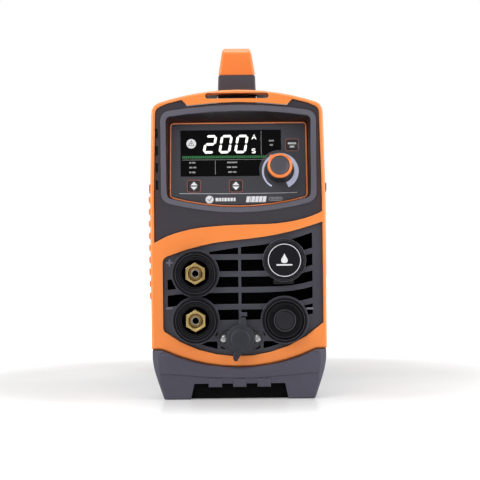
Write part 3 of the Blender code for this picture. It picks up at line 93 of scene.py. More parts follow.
lights = {
    "key": {"size": (1.2, 1.2), "spot": (-0.9, -1.5, 1.35), "power": 15},
    "fill": {"size": (1.0, 1.4), "spot": (1.35, -1.2, 0.75), "power": 7},
    "top": {"size": (1.4, 1.4), "spot": (0.0, 0.1, 1.7), "power": 16},
    "leftStrip": {"size": (0.25, 1.1), "spot": (-1.15, -0.25, 0.45), "power": 7},
    "rightStrip": {"size": (0.25, 1.1), "spot": (1.15, -0.25, 0.45), "power": 7},
    "back": {"size": (1.2, 1.0), "spot": (0.2, 1.7, 0.9), "power": 9},
}
lightAim = (0, 0, 0.13)                           # the lights look at the middle of the machine
backdrop = {"seen": 1.0, "cast": 0.34}            # the world as the camera sees it, and the light it gives


def makeLights():
    for name, given in lights.items():
        data = bpy.data.lights.new(name + "Light", "AREA")
        data.shape = "RECTANGLE"
        data.size, data.size_y = given["size"]
        data.energy = given["power"]
        item = bpy.data.objects.new(name + "Light", data)
        item.location = given["spot"]
        aim = Vector(lightAim) - item.location
        item.rotation_euler = aim.to_track_quat("-Z", "Y").to_euler()
        scene.collection.objects.link(item)
    world = bpy.data.worlds.new("studio")
    world.use_nodes = True
    tree = world.node_tree
    back = tree.nodes["Background"]
    back.inputs["Color"].default_value = (1, 1, 1, 1)
    share = tree.nodes.new("ShaderNodeMapRange")
    share.inputs["To Min"].default_value = backdrop["cast"]
    share.inputs["To Max"].default_value = backdrop["seen"]
    tree.links.new(tree.nodes.new("ShaderNodeLightPath").outputs["Is Camera Ray"], share.inputs["Value"])
    tree.links.new(share.outputs["Result"], back.inputs["Strength"])
    scene.world = world
    scene.view_settings.view_transform = "Standard"
    scene.view_settings.look = "None"


# shader node groups, built once and shared by the finishes
def newGroup(name, inputs, outputs):
    group = bpy.data.node_groups.new(name, "ShaderNodeTree")
    for label, kind, value in inputs:
        made = group.interface.new_socket(name=label, in_out="INPUT", socket_type="NodeSocket" + kind)
        if value is not None:
            made.default_value = value
    for label, kind in outputs:
        group.interface.new_socket(name=label, in_out="OUTPUT", socket_type="NodeSocket" + kind)
    return group, group.nodes.new("NodeGroupInput"), group.nodes.new("NodeGroupOutput")


def mathNode(tree, operation, first, second=None, clamp=False):
    node = tree.nodes.new("ShaderNodeMath")
    node.operation = operation
    node.use_clamp = clamp
    for i, value in enumerate((first, second)):
        if value is None:
            continue
        if isinstance(value, (int, float)):
            node.inputs[i].default_value = value
        else:
            tree.links.new(value, node.inputs[i])
    return node.outputs[0]


def noiseNode(tree, vector, scale, detail, rough=0.5):
    node = tree.nodes.new("ShaderNodeTexNoise")
    tree.links.new(vector, node.inputs["Vector"])
    if isinstance(scale, (int, float)):
        node.inputs["Scale"].default_value = scale
    else:
        tree.links.new(scale, node.inputs["Scale"])
    node.inputs["Detail"].default_value = detail
    node.inputs["Roughness"].default_value = rough
    return node.outputs["Fac"]


def buildMouldGrain():
    group, given, out = newGroup("mouldGrain", [
        ("Vector", "Vector", None), ("Grain", "Float", 2600.0), ("Depth", "Float", 0.00004),
        ("Edge", "Float", 0.0006), ("Blotch", "Float", 14.0)],
        [("Tone", "Float"), ("Gloss", "Float"), ("Normal", "Vector"), ("Rim", "Float")])
    fine = noiseNode(group, given.outputs["Vector"], given.outputs["Grain"], 3.0, 0.55)
    broad = noiseNode(group, given.outputs["Vector"], given.outputs["Blotch"], 4.0, 0.6)
    bevel = group.nodes.new("ShaderNodeBevel")
    bevel.samples = 6
    group.links.new(given.outputs["Edge"], bevel.inputs["Radius"])
    face = group.nodes.new("ShaderNodeNewGeometry")
    dot = group.nodes.new("ShaderNodeVectorMath")
    dot.operation = "DOT_PRODUCT"
    group.links.new(bevel.outputs["Normal"], dot.inputs[0])
    group.links.new(face.outputs["Normal"], dot.inputs[1])
    # lighter edges: a mask along every edge, broken up by noise, for edge wear and painted highlight together
    rim = mathNode(group, "SUBTRACT", 1.0, dot.outputs["Value"], True)
    rim = mathNode(group, "MULTIPLY", rim, 5.0, True)
    rough = mathNode(group, "ADD", mathNode(group, "MULTIPLY", broad, 1.3), -0.15, True)
    group.links.new(mathNode(group, "MULTIPLY", rim, rough, True), out.inputs["Rim"])
    bump = group.nodes.new("ShaderNodeBump")
    bump.inputs["Strength"].default_value = 1.0
    group.links.new(given.outputs["Depth"], bump.inputs["Distance"])
    group.links.new(fine, bump.inputs["Height"])
    group.links.new(bevel.outputs["Normal"], bump.inputs["Normal"])
    group.links.new(bump.outputs["Normal"], out.inputs["Normal"])
    mixed = mathNode(group, "ADD", mathNode(group, "MULTIPLY", broad, 0.6), mathNode(group, "MULTIPLY", fine, 0.4))
    group.links.new(mixed, out.inputs["Tone"])
    group.links.new(broad, out.inputs["Gloss"])
    return group


def buildTurnedMarks():
    group, given, out = newGroup("turnedMarks", [
        ("Vector", "Vector", None), ("Pitch", "Float", 9000.0), ("Depth", "Float", 0.00002),
        ("Edge", "Float", 0.0003)], [("Tone", "Float"), ("Normal", "Vector"), ("Rim", "Float")])
    stretch = group.nodes.new("ShaderNodeMapping")
    stretch.inputs["Scale"].default_value = (0.12, 1.0, 0.12)
    group.links.new(given.outputs["Vector"], stretch.inputs["Vector"])
    lines = noiseNode(group, stretch.outputs["Vector"], given.outputs["Pitch"], 2.0)
    stain = noiseNode(group, given.outputs["Vector"], 120.0, 4.0)
    bevel = group.nodes.new("ShaderNodeBevel")
    bevel.samples = 6
    group.links.new(given.outputs["Edge"], bevel.inputs["Radius"])
    face = group.nodes.new("ShaderNodeNewGeometry")
    dot = group.nodes.new("ShaderNodeVectorMath")
    dot.operation = "DOT_PRODUCT"
    group.links.new(bevel.outputs["Normal"], dot.inputs[0])
    group.links.new(face.outputs["Normal"], dot.inputs[1])
    # lighter edges: a mask along every edge, for edge wear and painted highlight together
    rim = mathNode(group, "SUBTRACT", 1.0, dot.outputs["Value"], True)
    group.links.new(mathNode(group, "MULTIPLY", rim, 4.0, True), out.inputs["Rim"])
    bump = group.nodes.new("ShaderNodeBump")
    group.links.new(given.outputs["Depth"], bump.inputs["Distance"])
    group.links.new(lines, bump.inputs["Height"])
    group.links.new(bevel.outputs["Normal"], bump.inputs["Normal"])
    group.links.new(bump.outputs["Normal"], out.inputs["Normal"])
    group.links.new(mathNode(group, "ADD", mathNode(group, "MULTIPLY", lines, 0.4),
                             mathNode(group, "MULTIPLY", stain, 0.6)), out.inputs["Tone"])
    return group


mouldGrain = buildMouldGrain()
turnedMarks = buildTurnedMarks()


# makers of finishes
def startMaterial(name):
    material = bpy.data.materials.new(name)
    material.use_nodes = True
    tree = material.node_tree
    shader = tree.nodes["Principled BSDF"]
    where = tree.nodes.new("ShaderNodeTexCoord").outputs["Object"]
    return material, tree, shader, where


def mixColour(tree, share, first, second):
    node = tree.nodes.new("ShaderNodeMix")
    node.data_type = "RGBA"
    tree.links.new(share, node.inputs["Factor"])
    for value, socket in ((first, node.inputs["A"]), (second, node.inputs["B"])):
        if isinstance(value, tuple):
            socket.default_value = (*value, 1)
        else:
            tree.links.new(value, socket)
    return node.outputs["Result"]


def spread(tree, value, low, high):
    node = tree.nodes.new("ShaderNodeMapRange")
    node.inputs["From Min"].default_value = 0.3
    node.inputs["From Max"].default_value = 0.7
    node.inputs["To Min"].default_value = low
    node.inputs["To Max"].default_value = high
    tree.links.new(value, node.inputs["Value"])
    return node.outputs["Result"]


def moulded(dark, light, rim, rough, grain=2600, depth=0.00004, edge=0.0006, coat=0.0, metallic=0.0, sheen=0.0,
            blotch=14, shine=0.5):
    material, tree, shader, where = startMaterial("finish")
    group = tree.nodes.new("ShaderNodeGroup")
    group.node_tree = mouldGrain
    tree.links.new(where, group.inputs["Vector"])
    for label, value in (("Grain", grain), ("Depth", depth), ("Edge", edge), ("Blotch", blotch)):
        group.inputs[label].default_value = value
    tone = spread(tree, group.outputs["Tone"], 0, 1)
    body = mixColour(tree, tone, dark, light)
    # edges turn towards the rim colour: edge wear and painted highlight together
    tree.links.new(mixColour(tree, group.outputs["Rim"], body, rim), shader.inputs["Base Color"])
    tree.links.new(spread(tree, group.outputs["Gloss"], rough - 0.05, rough + 0.06), shader.inputs["Roughness"])
    tree.links.new(group.outputs["Normal"], shader.inputs["Normal"])
    shader.inputs["Coat Weight"].default_value = coat
    shader.inputs["Coat Roughness"].default_value = 0.12
    shader.inputs["Metallic"].default_value = metallic
    shader.inputs["Sheen Weight"].default_value = sheen
    shader.inputs["Specular IOR Level"].default_value = shine
    return material


rimReflection = {"from": 0.0635, "to": 0.0685, "tone": (0.10, 0.036, 0.026)}    # painted reflection: orange light the bezel takes from the rims


# bezel colour by depth: a pale front ring as painted highlight on the chamfer, the face, and a near-black hood as
# painted shade in the recess
def zoned(name, ring, face, paintedHoodShade, rough, levels, grain=1500, depth=0.0001, edge=0.0007):
    material, tree, shader, where = startMaterial(name)
    group = tree.nodes.new("ShaderNodeGroup")
    group.node_tree = mouldGrain
    tree.links.new(where, group.inputs["Vector"])
    for label, value in (("Grain", grain), ("Depth", depth), ("Edge", edge)):
        group.inputs[label].default_value = value
    split = tree.nodes.new("ShaderNodeSeparateXYZ")
    tree.links.new(where, split.inputs["Vector"])
    shares = []
    for start, end in levels:
        step = tree.nodes.new("ShaderNodeMapRange")
        step.inputs["From Min"].default_value = start
        step.inputs["From Max"].default_value = end
        tree.links.new(split.outputs["Y"], step.inputs["Value"])
        shares.append(step.outputs["Result"])
    # painted reflection: the bezel's sides turn orange near the frame's rims
    bounceShare = tree.nodes.new("ShaderNodeMapRange")
    bounceShare.inputs["From Min"].default_value, bounceShare.inputs["From Max"].default_value = rimReflection["from"], rimReflection["to"]
    tree.links.new(mathNode(tree, "ABSOLUTE", split.outputs["X"]), bounceShare.inputs["Value"])
    rimBounce = mixColour(tree, mathNode(tree, "MULTIPLY", bounceShare.outputs["Result"], 0.8), face, rimReflection["tone"])
    # painted highlight on the front ring, painted shade on the deep hood
    body = mixColour(tree, shares[1], mixColour(tree, shares[0], ring, rimBounce), paintedHoodShade)
    shade = mixColour(tree, spread(tree, group.outputs["Tone"], 0, 0.3), body, (0.012, 0.011, 0.014))
    # edges lighten half way towards the ring colour: edge wear and painted highlight together
    lighter = mathNode(tree, "MULTIPLY", group.outputs["Rim"], 0.5)
    tree.links.new(mixColour(tree, lighter, shade, ring), shader.inputs["Base Color"])
    tree.links.new(spread(tree, group.outputs["Gloss"], rough - 0.05, rough + 0.06), shader.inputs["Roughness"])
    tree.links.new(group.outputs["Normal"], shader.inputs["Normal"])
    return material


def machined(dark, light, rim, rough, pitch=9000, depth=0.00002, edge=0.0003, metallic=1.0):
    material, tree, shader, where = startMaterial("finish")
    group = tree.nodes.new("ShaderNodeGroup")
    group.node_tree = turnedMarks
    tree.links.new(where, group.inputs["Vector"])
    for label, value in (("Pitch", pitch), ("Depth", depth), ("Edge", edge)):
        group.inputs[label].default_value = value
    body = mixColour(tree, spread(tree, group.outputs["Tone"], 0, 1), dark, light)
    # edges turn towards the rim colour: edge wear and painted highlight together
    tree.links.new(mixColour(tree, group.outputs["Rim"], body, rim), shader.inputs["Base Color"])
    tree.links.new(spread(tree, group.outputs["Tone"], rough - 0.06, rough + 0.1), shader.inputs["Roughness"])
    tree.links.new(group.outputs["Normal"], shader.inputs["Normal"])
    shader.inputs["Metallic"].default_value = metallic
    return material


def lit(dark, light, strength, rough=0.45):
    material, tree, shader, where = startMaterial("finish")
    patch = noiseNode(tree, where, 900.0, 2.0)
    tree.links.new(mixColour(tree, spread(tree, patch, 0, 1), dark, light), shader.inputs["Base Color"])
    tree.links.new(spread(tree, patch, rough - 0.05, rough + 0.05), shader.inputs["Roughness"])
    shader.inputs["Emission Color"].default_value = (*light, 1)
    shader.inputs["Emission Strength"].default_value = strength
    return material


# moulded and machined finishes give the edge colour third: edge wear and painted highlight together
finishes = {
    "orangeShell": moulded((0.90, 0.235, 0.042), (0.98, 0.290, 0.056), (1.0, 0.46, 0.17), 0.36,
                           grain=2400, depth=0.00003, edge=0.0011, coat=0.15),
    "orangeGrip": moulded((0.84, 0.205, 0.03), (0.94, 0.25, 0.045), (1.0, 0.45, 0.18), 0.33,
                          grain=2000, depth=0.00005, edge=0.0016, coat=0.18),
    "charcoalShell": moulded((0.046, 0.046, 0.062), (0.064, 0.064, 0.082), (0.16, 0.16, 0.19), 0.5,
                             grain=1500, depth=0.00012, edge=0.0007),
    "grilleShell": moulded((0.040, 0.040, 0.056), (0.056, 0.056, 0.076), (0.15, 0.15, 0.19), 0.42,
                           grain=1500, depth=0.00010, edge=0.0007),
    "bumperShell": moulded((0.056, 0.052, 0.078), (0.072, 0.068, 0.100), (0.16, 0.15, 0.20), 0.46,
                           grain=1300, depth=0.00014, edge=0.0011),
    # bezel: its pale ring is a painted highlight, its near-black hood is painted shade
    "bezelShell": zoned("bezelShell", (0.125, 0.122, 0.155), (0.047, 0.042, 0.056), (0.012, 0.009, 0.011), 0.33,
                        ((cadLow.y + 0.0108, cadLow.y + 0.0114), (cadLow.y + 0.0119, cadLow.y + 0.0127))),
    "panelFilm": moulded((0.040, 0.040, 0.050), (0.050, 0.050, 0.062), (0.10, 0.10, 0.12), 0.38,
                         grain=3200, depth=0.00002, edge=0.0003),
    "piping": moulded((0.72, 0.17, 0.04), (0.86, 0.26, 0.08), (1.0, 0.5, 0.25), 0.25, grain=3000,
                      depth=0.00001, edge=0.0002, coat=0.4),
    "lens": moulded((0.0022, 0.0022, 0.0026), (0.0034, 0.0034, 0.004), (0.02, 0.02, 0.024), 0.16, grain=500,
                    depth=0.000002, edge=0.0003, shine=0.1),
    "blackMoulding": moulded((0.010, 0.010, 0.013), (0.017, 0.017, 0.022), (0.07, 0.07, 0.085), 0.38,
                             grain=2600, depth=0.00004, edge=0.0005, shine=0.35),
    "socketResin": moulded((0.0026, 0.0026, 0.0032), (0.0045, 0.0045, 0.0056), (0.06, 0.06, 0.075),
                           0.42, grain=2200, depth=0.00002, edge=0.0004, shine=0.08),
    "keyRubber": moulded((0.013, 0.012, 0.016), (0.019, 0.018, 0.023), (0.09, 0.08, 0.10), 0.5,
                         grain=2600, depth=0.00006, edge=0.0004),
    "dustRubber": moulded((0.017, 0.018, 0.026), (0.027, 0.028, 0.038), (0.11, 0.11, 0.14), 0.52,
                          grain=1500, depth=0.00006, edge=0.0006, shine=0.35),
    "knobRing": moulded((0.80, 0.18, 0.025), (0.90, 0.23, 0.04), (1.0, 0.45, 0.18), 0.3, grain=2600,
                        depth=0.00002, edge=0.0004, coat=0.2),
    "knobFace": moulded((0.055, 0.050, 0.065), (0.075, 0.070, 0.088), (0.22, 0.21, 0.25), 0.4, grain=3000,
                        depth=0.00005, edge=0.0004),
    "badgeFace": moulded((0.005, 0.005, 0.007), (0.008, 0.008, 0.011), (0.07, 0.07, 0.085), 0.36,
                         grain=1800, depth=0.00002, edge=0.0005, shine=0.18),
    "markRaised": moulded((0.15, 0.15, 0.19), (0.19, 0.19, 0.24), (0.30, 0.30, 0.36), 0.4, edge=0.0003),
    "flangeEdge": lit((0.10, 0.10, 0.115), (0.16, 0.16, 0.18), 0.0, 0.35),
    "scaleLavender": lit((0.58, 0.60, 0.80), (0.68, 0.70, 0.90), 0.0),
    "tickGlow": lit((0.30, 0.30, 0.31), (0.45, 0.45, 0.46), 0.12),
    # pale rings that stand for highlights on steps and edges
    "collarHighlight": moulded((0.034, 0.034, 0.044), (0.050, 0.050, 0.064), (0.12, 0.12, 0.15), 0.4,
                          grain=2200, depth=0.00002, edge=0.0002),
    "capRubber": moulded((0.008, 0.008, 0.011), (0.014, 0.014, 0.019), (0.08, 0.08, 0.10), 0.42,
                         grain=1800, depth=0.00003, edge=0.0006, shine=0.3),
    # near-black for the sheets that stand for shade
    "paintedShadeBlack": moulded((0.0022, 0.0020, 0.0022), (0.0045, 0.0040, 0.0042), (0.012, 0.012, 0.012),
                          0.85, grain=900, depth=0.0002, edge=0.0004, shine=0.1),
    "boreSteel": machined((0.34, 0.34, 0.35), (0.48, 0.48, 0.49), (0.8, 0.8, 0.8), 0.3),
    "markWhite": lit((0.72, 0.72, 0.74), (0.88, 0.88, 0.90), 0.0),
    "markGrey": lit((0.26, 0.26, 0.28), (0.34, 0.34, 0.37), 0.0),
    "markSilver": machined((0.42, 0.42, 0.44), (0.56, 0.56, 0.58), (0.8, 0.8, 0.8), 0.34, metallic=0.6),
    "markRed": lit((0.26, 0.085, 0.06), (0.33, 0.11, 0.08), 0.0),
    "segmentGlow": lit((0.80, 0.80, 0.76), (0.96, 0.95, 0.90), 0.6),
    "dimGlow": lit((0.30, 0.30, 0.30), (0.42, 0.42, 0.42), 0.14),
    "greenGlow": lit((0.015, 0.12, 0.03), (0.025, 0.17, 0.05), 0.25),
    "brass": machined((0.62, 0.43, 0.15), (0.78, 0.58, 0.24), (0.95, 0.80, 0.45), 0.24, pitch=5000,
                      depth=0.00003, edge=0.0004),
    "brassBore": machined((0.20, 0.12, 0.04), (0.34, 0.22, 0.08), (0.6, 0.45, 0.2), 0.35),
    "brightSteel": machined((0.50, 0.50, 0.51), (0.64, 0.64, 0.65), (0.85, 0.85, 0.85), 0.26),
    "darkFlange": machined((0.05, 0.05, 0.055), (0.085, 0.085, 0.095), (0.4, 0.4, 0.42), 0.34,
                           metallic=0.7),
    "blackScrew": machined((0.03, 0.03, 0.032), (0.05, 0.05, 0.055), (0.2, 0.2, 0.2), 0.36,
                           metallic=0.6),
    "powderCoat": moulded((0.036, 0.036, 0.041), (0.052, 0.052, 0.058), (0.13, 0.13, 0.14), 0.48,
                          grain=900, depth=0.00016, edge=0.0008, metallic=0.1),
    "greyCoat": moulded((0.10, 0.10, 0.105), (0.14, 0.14, 0.145), (0.3, 0.3, 0.3), 0.46, grain=900,
                        depth=0.00014, edge=0.0006, metallic=0.2),
    "zincPlate": machined((0.38, 0.39, 0.40), (0.52, 0.53, 0.55), (0.75, 0.75, 0.76), 0.34),
    "finAlloy": machined((0.50, 0.51, 0.53), (0.66, 0.67, 0.69), (0.85, 0.85, 0.86), 0.32, pitch=3000),
    "circuitGreen": moulded((0.014, 0.10, 0.04), (0.024, 0.15, 0.06), (0.2, 0.3, 0.15), 0.36,
                            grain=500, depth=0.00002, edge=0.0002, blotch=90),
    "canSleeve": moulded((0.02, 0.04, 0.16), (0.03, 0.06, 0.22), (0.1, 0.15, 0.35), 0.3, grain=1500,
                         depth=0.00002, edge=0.0008, coat=0.2),
    "ferrite": moulded((0.035, 0.035, 0.037), (0.06, 0.06, 0.062), (0.16, 0.16, 0.16), 0.62, grain=700,
                       depth=0.0002, edge=0.0008, blotch=60),
    "tapedWinding": moulded((0.50, 0.32, 0.05), (0.66, 0.46, 0.10), (0.8, 0.65, 0.3), 0.35,
                            grain=400, depth=0.0001, edge=0.001, blotch=80),
    "copperBar": machined((0.60, 0.28, 0.12), (0.76, 0.40, 0.20), (0.95, 0.6, 0.35), 0.28),
}
for name, material in finishes.items():
    material.name = name
print("finishes made:", len(finishes))

nodeFinish = {
    "orangeShell": ["front_frame", "rear_frame"],
    "orangeGrip": ["handle_grip"],
    "bezelShell": ["display_bezel"],
    "grilleShell": ["front_grille"],
    "charcoalShell": ["handle_base", "rear_panel"],
    "bumperShell": ["front_bumper", "rear_bumper"],
    "panelFilm": ["control_panel"],
    "piping": ["panel_piping"],
    "lens": ["display_window"],
    "blackMoulding": ["display_module", "key_switch_left", "key_switch_middle", "key_switch_upper", "knob_skirt",
                      "encoder_body", "power_switch_body", "power_switch_rocker", "cable_gland", "fan_frame",
                      "fan_rotor"],
    "socketResin": ["plus_socket_body", "minus_socket_body", "torch_socket_body"],
    "capRubber": ["torch_cap"],
    "keyRubber": ["key_left", "key_middle", "key_upper"],
    "dustRubber": ["dust_cap", "gas_tube"],
    "knobRing": ["knob_ring"],
    "knobFace": ["knob_cap"],
    "badgeFace": ["badge_disc"],
    "brass": ["plus_socket_insert", "minus_socket_insert", "torch_connector", "gas_inlet"],
    "brightSteel": ["remote_screw_left", "remote_screw_right", "encoder_shaft"],
    "darkFlange": ["remote_socket"],
    "blackScrew": ["side_screw_front_left", "side_screw_front_right", "side_screw_rear_left",
                   "side_screw_rear_right"],
    "powderCoat": ["case_cover"],
    "greyCoat": ["base_tray"],
    "zincPlate": ["gas_valve"],
    "finAlloy": ["heat_sink"],
    "circuitGreen": ["control_board", "main_board"],
    "canSleeve": ["capacitor_left", "capacitor_right"],
    "ferrite": ["transformer_core", "output_choke"],
    "tapedWinding": ["transformer_winding"],
    "copperBar": ["busbar_plus", "busbar_minus"],
}


def finishNodes():
    for finish, names in nodeFinish.items():
        for name in names:
            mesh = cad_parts[name].data
            mesh.materials.clear()
            mesh.materials.append(finishes[finish])


# a finished bmesh becomes a piece that rides on its body
def keep(name, bm, finish, body, place=None, crease=32, swaps=()):
    bmesh.ops.remove_doubles(bm, verts=bm.verts, dist=0.000005)
    bmesh.ops.recalc_face_normals(bm, faces=bm.faces)
    mesh = bpy.data.meshes.new(name)
    bm.to_mesh(mesh)
    bm.free()
    for face in mesh.polygons:
        face.use_smooth = True
    mesh.set_sharp_from_angle(angle=math.radians(crease))
    if place is not None:
        mesh.transform(place)
    mesh.materials.append(finishes[finish])
    item = bpy.data.objects.new(name, mesh)
    scene.collection.objects.link(item)
    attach(item, body)
    if swaps:
        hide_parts(*swaps)
    return item


def spinProfile(bm, profile, steps=96, closed=False):
    made = [bm.verts.new((radius * mm, 0, height * mm)) for radius, height in profile]
    edges = [bm.edges.new(pair) for pair in zip(made, made[1:])]
    if closed:
        edges.append(bm.edges.new((made[-1], made[0])))
    bmesh.ops.spin(bm, geom=made + edges, cent=(0, 0, 0), axis=(0, 0, 1), angle=math.tau, steps=steps, use_merge=True)
    bmesh.ops.remove_doubles(bm, verts=bm.verts, dist=0.000005)


def turnedPiece(name, profile, finish, body, place, steps=96, closed=False, swaps=(), crease=28):
    bm = bmesh.new()
    spinProfile(bm, profile, steps, closed)
    return keep(name, bm, finish, body, place, crease, swaps)


def addPlate(bm, outline, low, high, round=0.0, segments=2):
    made = [bm.verts.new((x * mm, y * mm, low * mm)) for x, y in outline]
    face = bm.faces.new(made)
    lifted = bmesh.ops.extrude_face_region(bm, geom=[face])["geom"]
    top = [part for part in lifted if isinstance(part, bmesh.types.BMVert)]
    bmesh.ops.translate(bm, verts=top, vec=(0, 0, (high - low) * mm))
    if round:
        tops = set(top)
        edges = [edge for edge in bm.edges if edge.verts[0] in tops and edge.verts[1] in tops]
        bmesh.ops.bevel(bm, geom=edges, offset=round * mm, offset_type="OFFSET", segments=segments, profile=0.5,
                        affect="EDGES", material=-1, clamp_overlap=True)


def box2(left, low, right, high):
    return [(left, low), (right, low), (right, high), (left, high)]


def roundBox(left, low, right, high, radius, steps=4):
    points = []
    for cx, cy, start in ((right - radius, high - radius, 0), (left + radius, high - radius, 90),
                          (left + radius, low + radius, 180), (right - radius, low + radius, 270)):
        for i in range(steps + 1):
            turn = math.radians(start + 90 * i / steps)
            points.append((cx + radius * math.cos(turn), cy + radius * math.sin(turn)))
    return points


def disc(x, y, radius, steps=24):
    return [(x + radius * math.cos(math.tau * i / steps), y + radius * math.sin(math.tau * i / steps))
            for i in range(steps)]


def ribbon(points, widths, closed=False):
    count = len(points)
    left, right = [], []
    for i, (x, y) in enumerate(points):
        before = points[i - 1] if i or closed else points[0]
        after = points[(i + 1) % count] if i < count - 1 or closed else points[-1]
        dx, dy = after[0] - before[0], after[1] - before[1]
        size = math.hypot(dx, dy) or 1
        half = (widths[i] if isinstance(widths, (list, tuple)) else widths) / 2
        left.append((x - dy / size * half, y + dx / size * half))
        right.append((x + dy / size * half, y - dx / size * half))
    return left, right


def addRibbon(bm, points, widths, low, high, closed=False):
    left, right = ribbon(points, widths, closed)
    if closed:
        rings = []
        for line in (left, right):
            made = [bm.verts.new((x * mm, y * mm, low * mm)) for x, y in line]
            rings += [bm.edges.new((made[i - 1], made[i])) for i in range(len(made))]
        faces = bmesh.ops.bridge_loops(bm, edges=rings)["faces"]
    else:
        made = [bm.verts.new((x * mm, y * mm, low * mm)) for x, y in left + right[::-1]]
        faces = [bm.faces.new(made)]
    lifted = bmesh.ops.extrude_face_region(bm, geom=faces)["geom"]
    top = [part for part in lifted if isinstance(part, bmesh.types.BMVert)]
    bmesh.ops.translate(bm, verts=top, vec=(0, 0, (high - low) * mm))


def loftRing(bm, loops):
    rings = []
    for loop in loops:
        made = [bm.verts.new((x * mm, y * mm, z * mm)) for x, y, z in loop]
        rings.append([bm.edges.new((made[i - 1], made[i])) for i in range(len(made))])
    for i in range(len(rings)):
        bmesh.ops.bridge_loops(bm, edges=rings[i - 1] + rings[i])


# what the window shows, in millimetres on the panel
display = {"digitAt": ((-28.9, 45.6), (-15.9, 45.6), (-2.9, 45.6)), "digitSize": (9.8, 15.6), "slant": 0.17,
           "stroke": 2.05, "shows": "200", "lift": 0.12, "tick": 0.62, "tickHeight": 1.25,
           "rows": ((-39.8, 37.3, (2, 3)), (-39.8, 33.3, (3, 3)), (-39.8, 29.2, (2, 3)), (-8.6, 37.3, (10,)),
                    (-8.6, 33.3, (4, 5)), (-7.6, 29.2, (4, 3)), (26.2, 55.4, (5,)), (27.0, 51.8, (3,)))}
segmentTable = {"0": "abcdef", "2": "abdeg"}


def segmentBars(width, height, stroke):
    half = height / 2
    gap = 0.25
    flat = []
    for level in (height - stroke / 2, half, stroke / 2):
        y = level
        flat.append([(gap + stroke / 2, y), (gap + stroke, y + stroke / 2), (width - gap - stroke, y + stroke / 2),
                     (width - gap - stroke / 2, y), (width - gap - stroke, y - stroke / 2),
                     (gap + stroke, y - stroke / 2)])
    bars = {"a": flat[0], "g": flat[1], "d": flat[2]}
    sides = (("f", stroke / 2, half, height - stroke / 2), ("b", width - stroke / 2, half, height - stroke / 2),
             ("e", stroke / 2, stroke / 2, half), ("c", width - stroke / 2, stroke / 2, half))
    for name, x, low, high in sides:
        edge = gap + stroke / 2
        bars[name] = [(x, low + gap), (x + stroke / 2, low + edge), (x + stroke / 2, high - edge),
                      (x, high - gap), (x - stroke / 2, high - edge), (x - stroke / 2, low + edge)]
    return bars


def letterStrokes(bm, at, size, strokes, width, low, high):
    for line in strokes:
        addRibbon(bm, [(at[0] + x * size, at[1] + y * size) for x, y in line], width, low, high)


def buildDisplay():
    low, high = panelFace["window"] - 0.05, panelFace["window"] + display["lift"]
    bm = bmesh.new()
    width, tall = display["digitSize"]
    bars = segmentBars(width, tall, display["stroke"])
    for (x, y), digit in zip(display["digitAt"], display["shows"]):
        for part in segmentTable[digit]:
            addPlate(bm, [(x + a + b * display["slant"], y + b) for a, b in bars[part]], low, high)
    capital = [[(0, 0), (0.42, 1), (0.84, 0)], [(0.16, 0.34), (0.68, 0.34)]]
    letterStrokes(bm, (12.2, 57.3), 3.9, capital, 0.8, low, high)
    sShape = [(0.78, 0.86), (0.6, 1), (0.22, 1), (0.03, 0.84), (0.06, 0.62), (0.25, 0.52), (0.58, 0.47), (0.78, 0.36),
              (0.78, 0.15), (0.6, 0), (0.2, 0), (0.02, 0.14)]
    letterStrokes(bm, (12.1, 45.8), 3.4, [sShape], 0.8, low, high)
    keep("displayDigits", bm, "segmentGlow", "case", panelPlace)

    # a round sign with a triangle in it
    bm = bmesh.new()
    addPlate(bm, disc(-38.2, 54.0, 4.0, 40), low, high)
    keep("displaySign", bm, "markWhite", "case", panelPlace)
    bm = bmesh.new()
    addRibbon(bm, [(-40.5, 52.5), (-35.9, 52.5), (-38.2, 56.6)], 0.6, high - 0.02, high + 0.03, closed=True)
    addPlate(bm, box2(-38.45, 53.3, -37.95, 55.0), high - 0.02, high + 0.03)
    keep("displaySignTriangle", bm, "lens", "case", panelPlace)

    bm = bmesh.new()
    addPlate(bm, box2(19.6, 44.2, 19.85, 64.4), low, high)
    addPlate(bm, box2(-18.5, 27.8, -18.25, 39.6), low, high)
    addPlate(bm, box2(-45.9, 40.2, 23.4, 40.4), low, high)
    keep("displayRules", bm, "dimGlow", "case", panelPlace)

    # rows of short ticks stand for the labels
    bm = bmesh.new()
    for x, y, marks in display["rows"]:
        left = x
        for count in marks:
            for _ in range(count):
                addPlate(bm, box2(left, y, left + display["tick"], y + display["tickHeight"]), low, high)
                left += display["tick"] + 0.24
            left += 0.7
    keep("displayMarks", bm, "tickGlow", "case", panelPlace)

    bm = bmesh.new()
    x = -45.6
    while x < 23:
        addPlate(bm, box2(x, 41.5, x + 1.05, 43.6), low, high)
        x += 1.55
    keep("displayBar", bm, "greenGlow", "case", panelPlace)


# print on the panel, and the signs on the keys
dial = {"at": (34.6, 31.4), "outer": 15.2, "start": 240, "end": -64, "thin": 1.3, "thick": 4.7, "growth": 1.5,
        "scaleAt": (35.3, 30.2)}
keyFrames = {"left": (-36.1, 18.2), "middle": (-1.5, 18.0), "upper": (45.4, 52.2)}
panelBlocks = {"dot": (-23.3, 6.8, 3.3),
               "upright": {"left": -18.4, "low": 5.3, "high": 8.2, "widths": (3.1, 2.2, 1.9, 2.6, 2.4, 2.6, 2.2)},
               "slanted": {"left": 6.6, "low": 4.3, "high": 9.2, "widths": (3.0, 1.3, 3.1, 3.0, 3.1, 3.1)}}


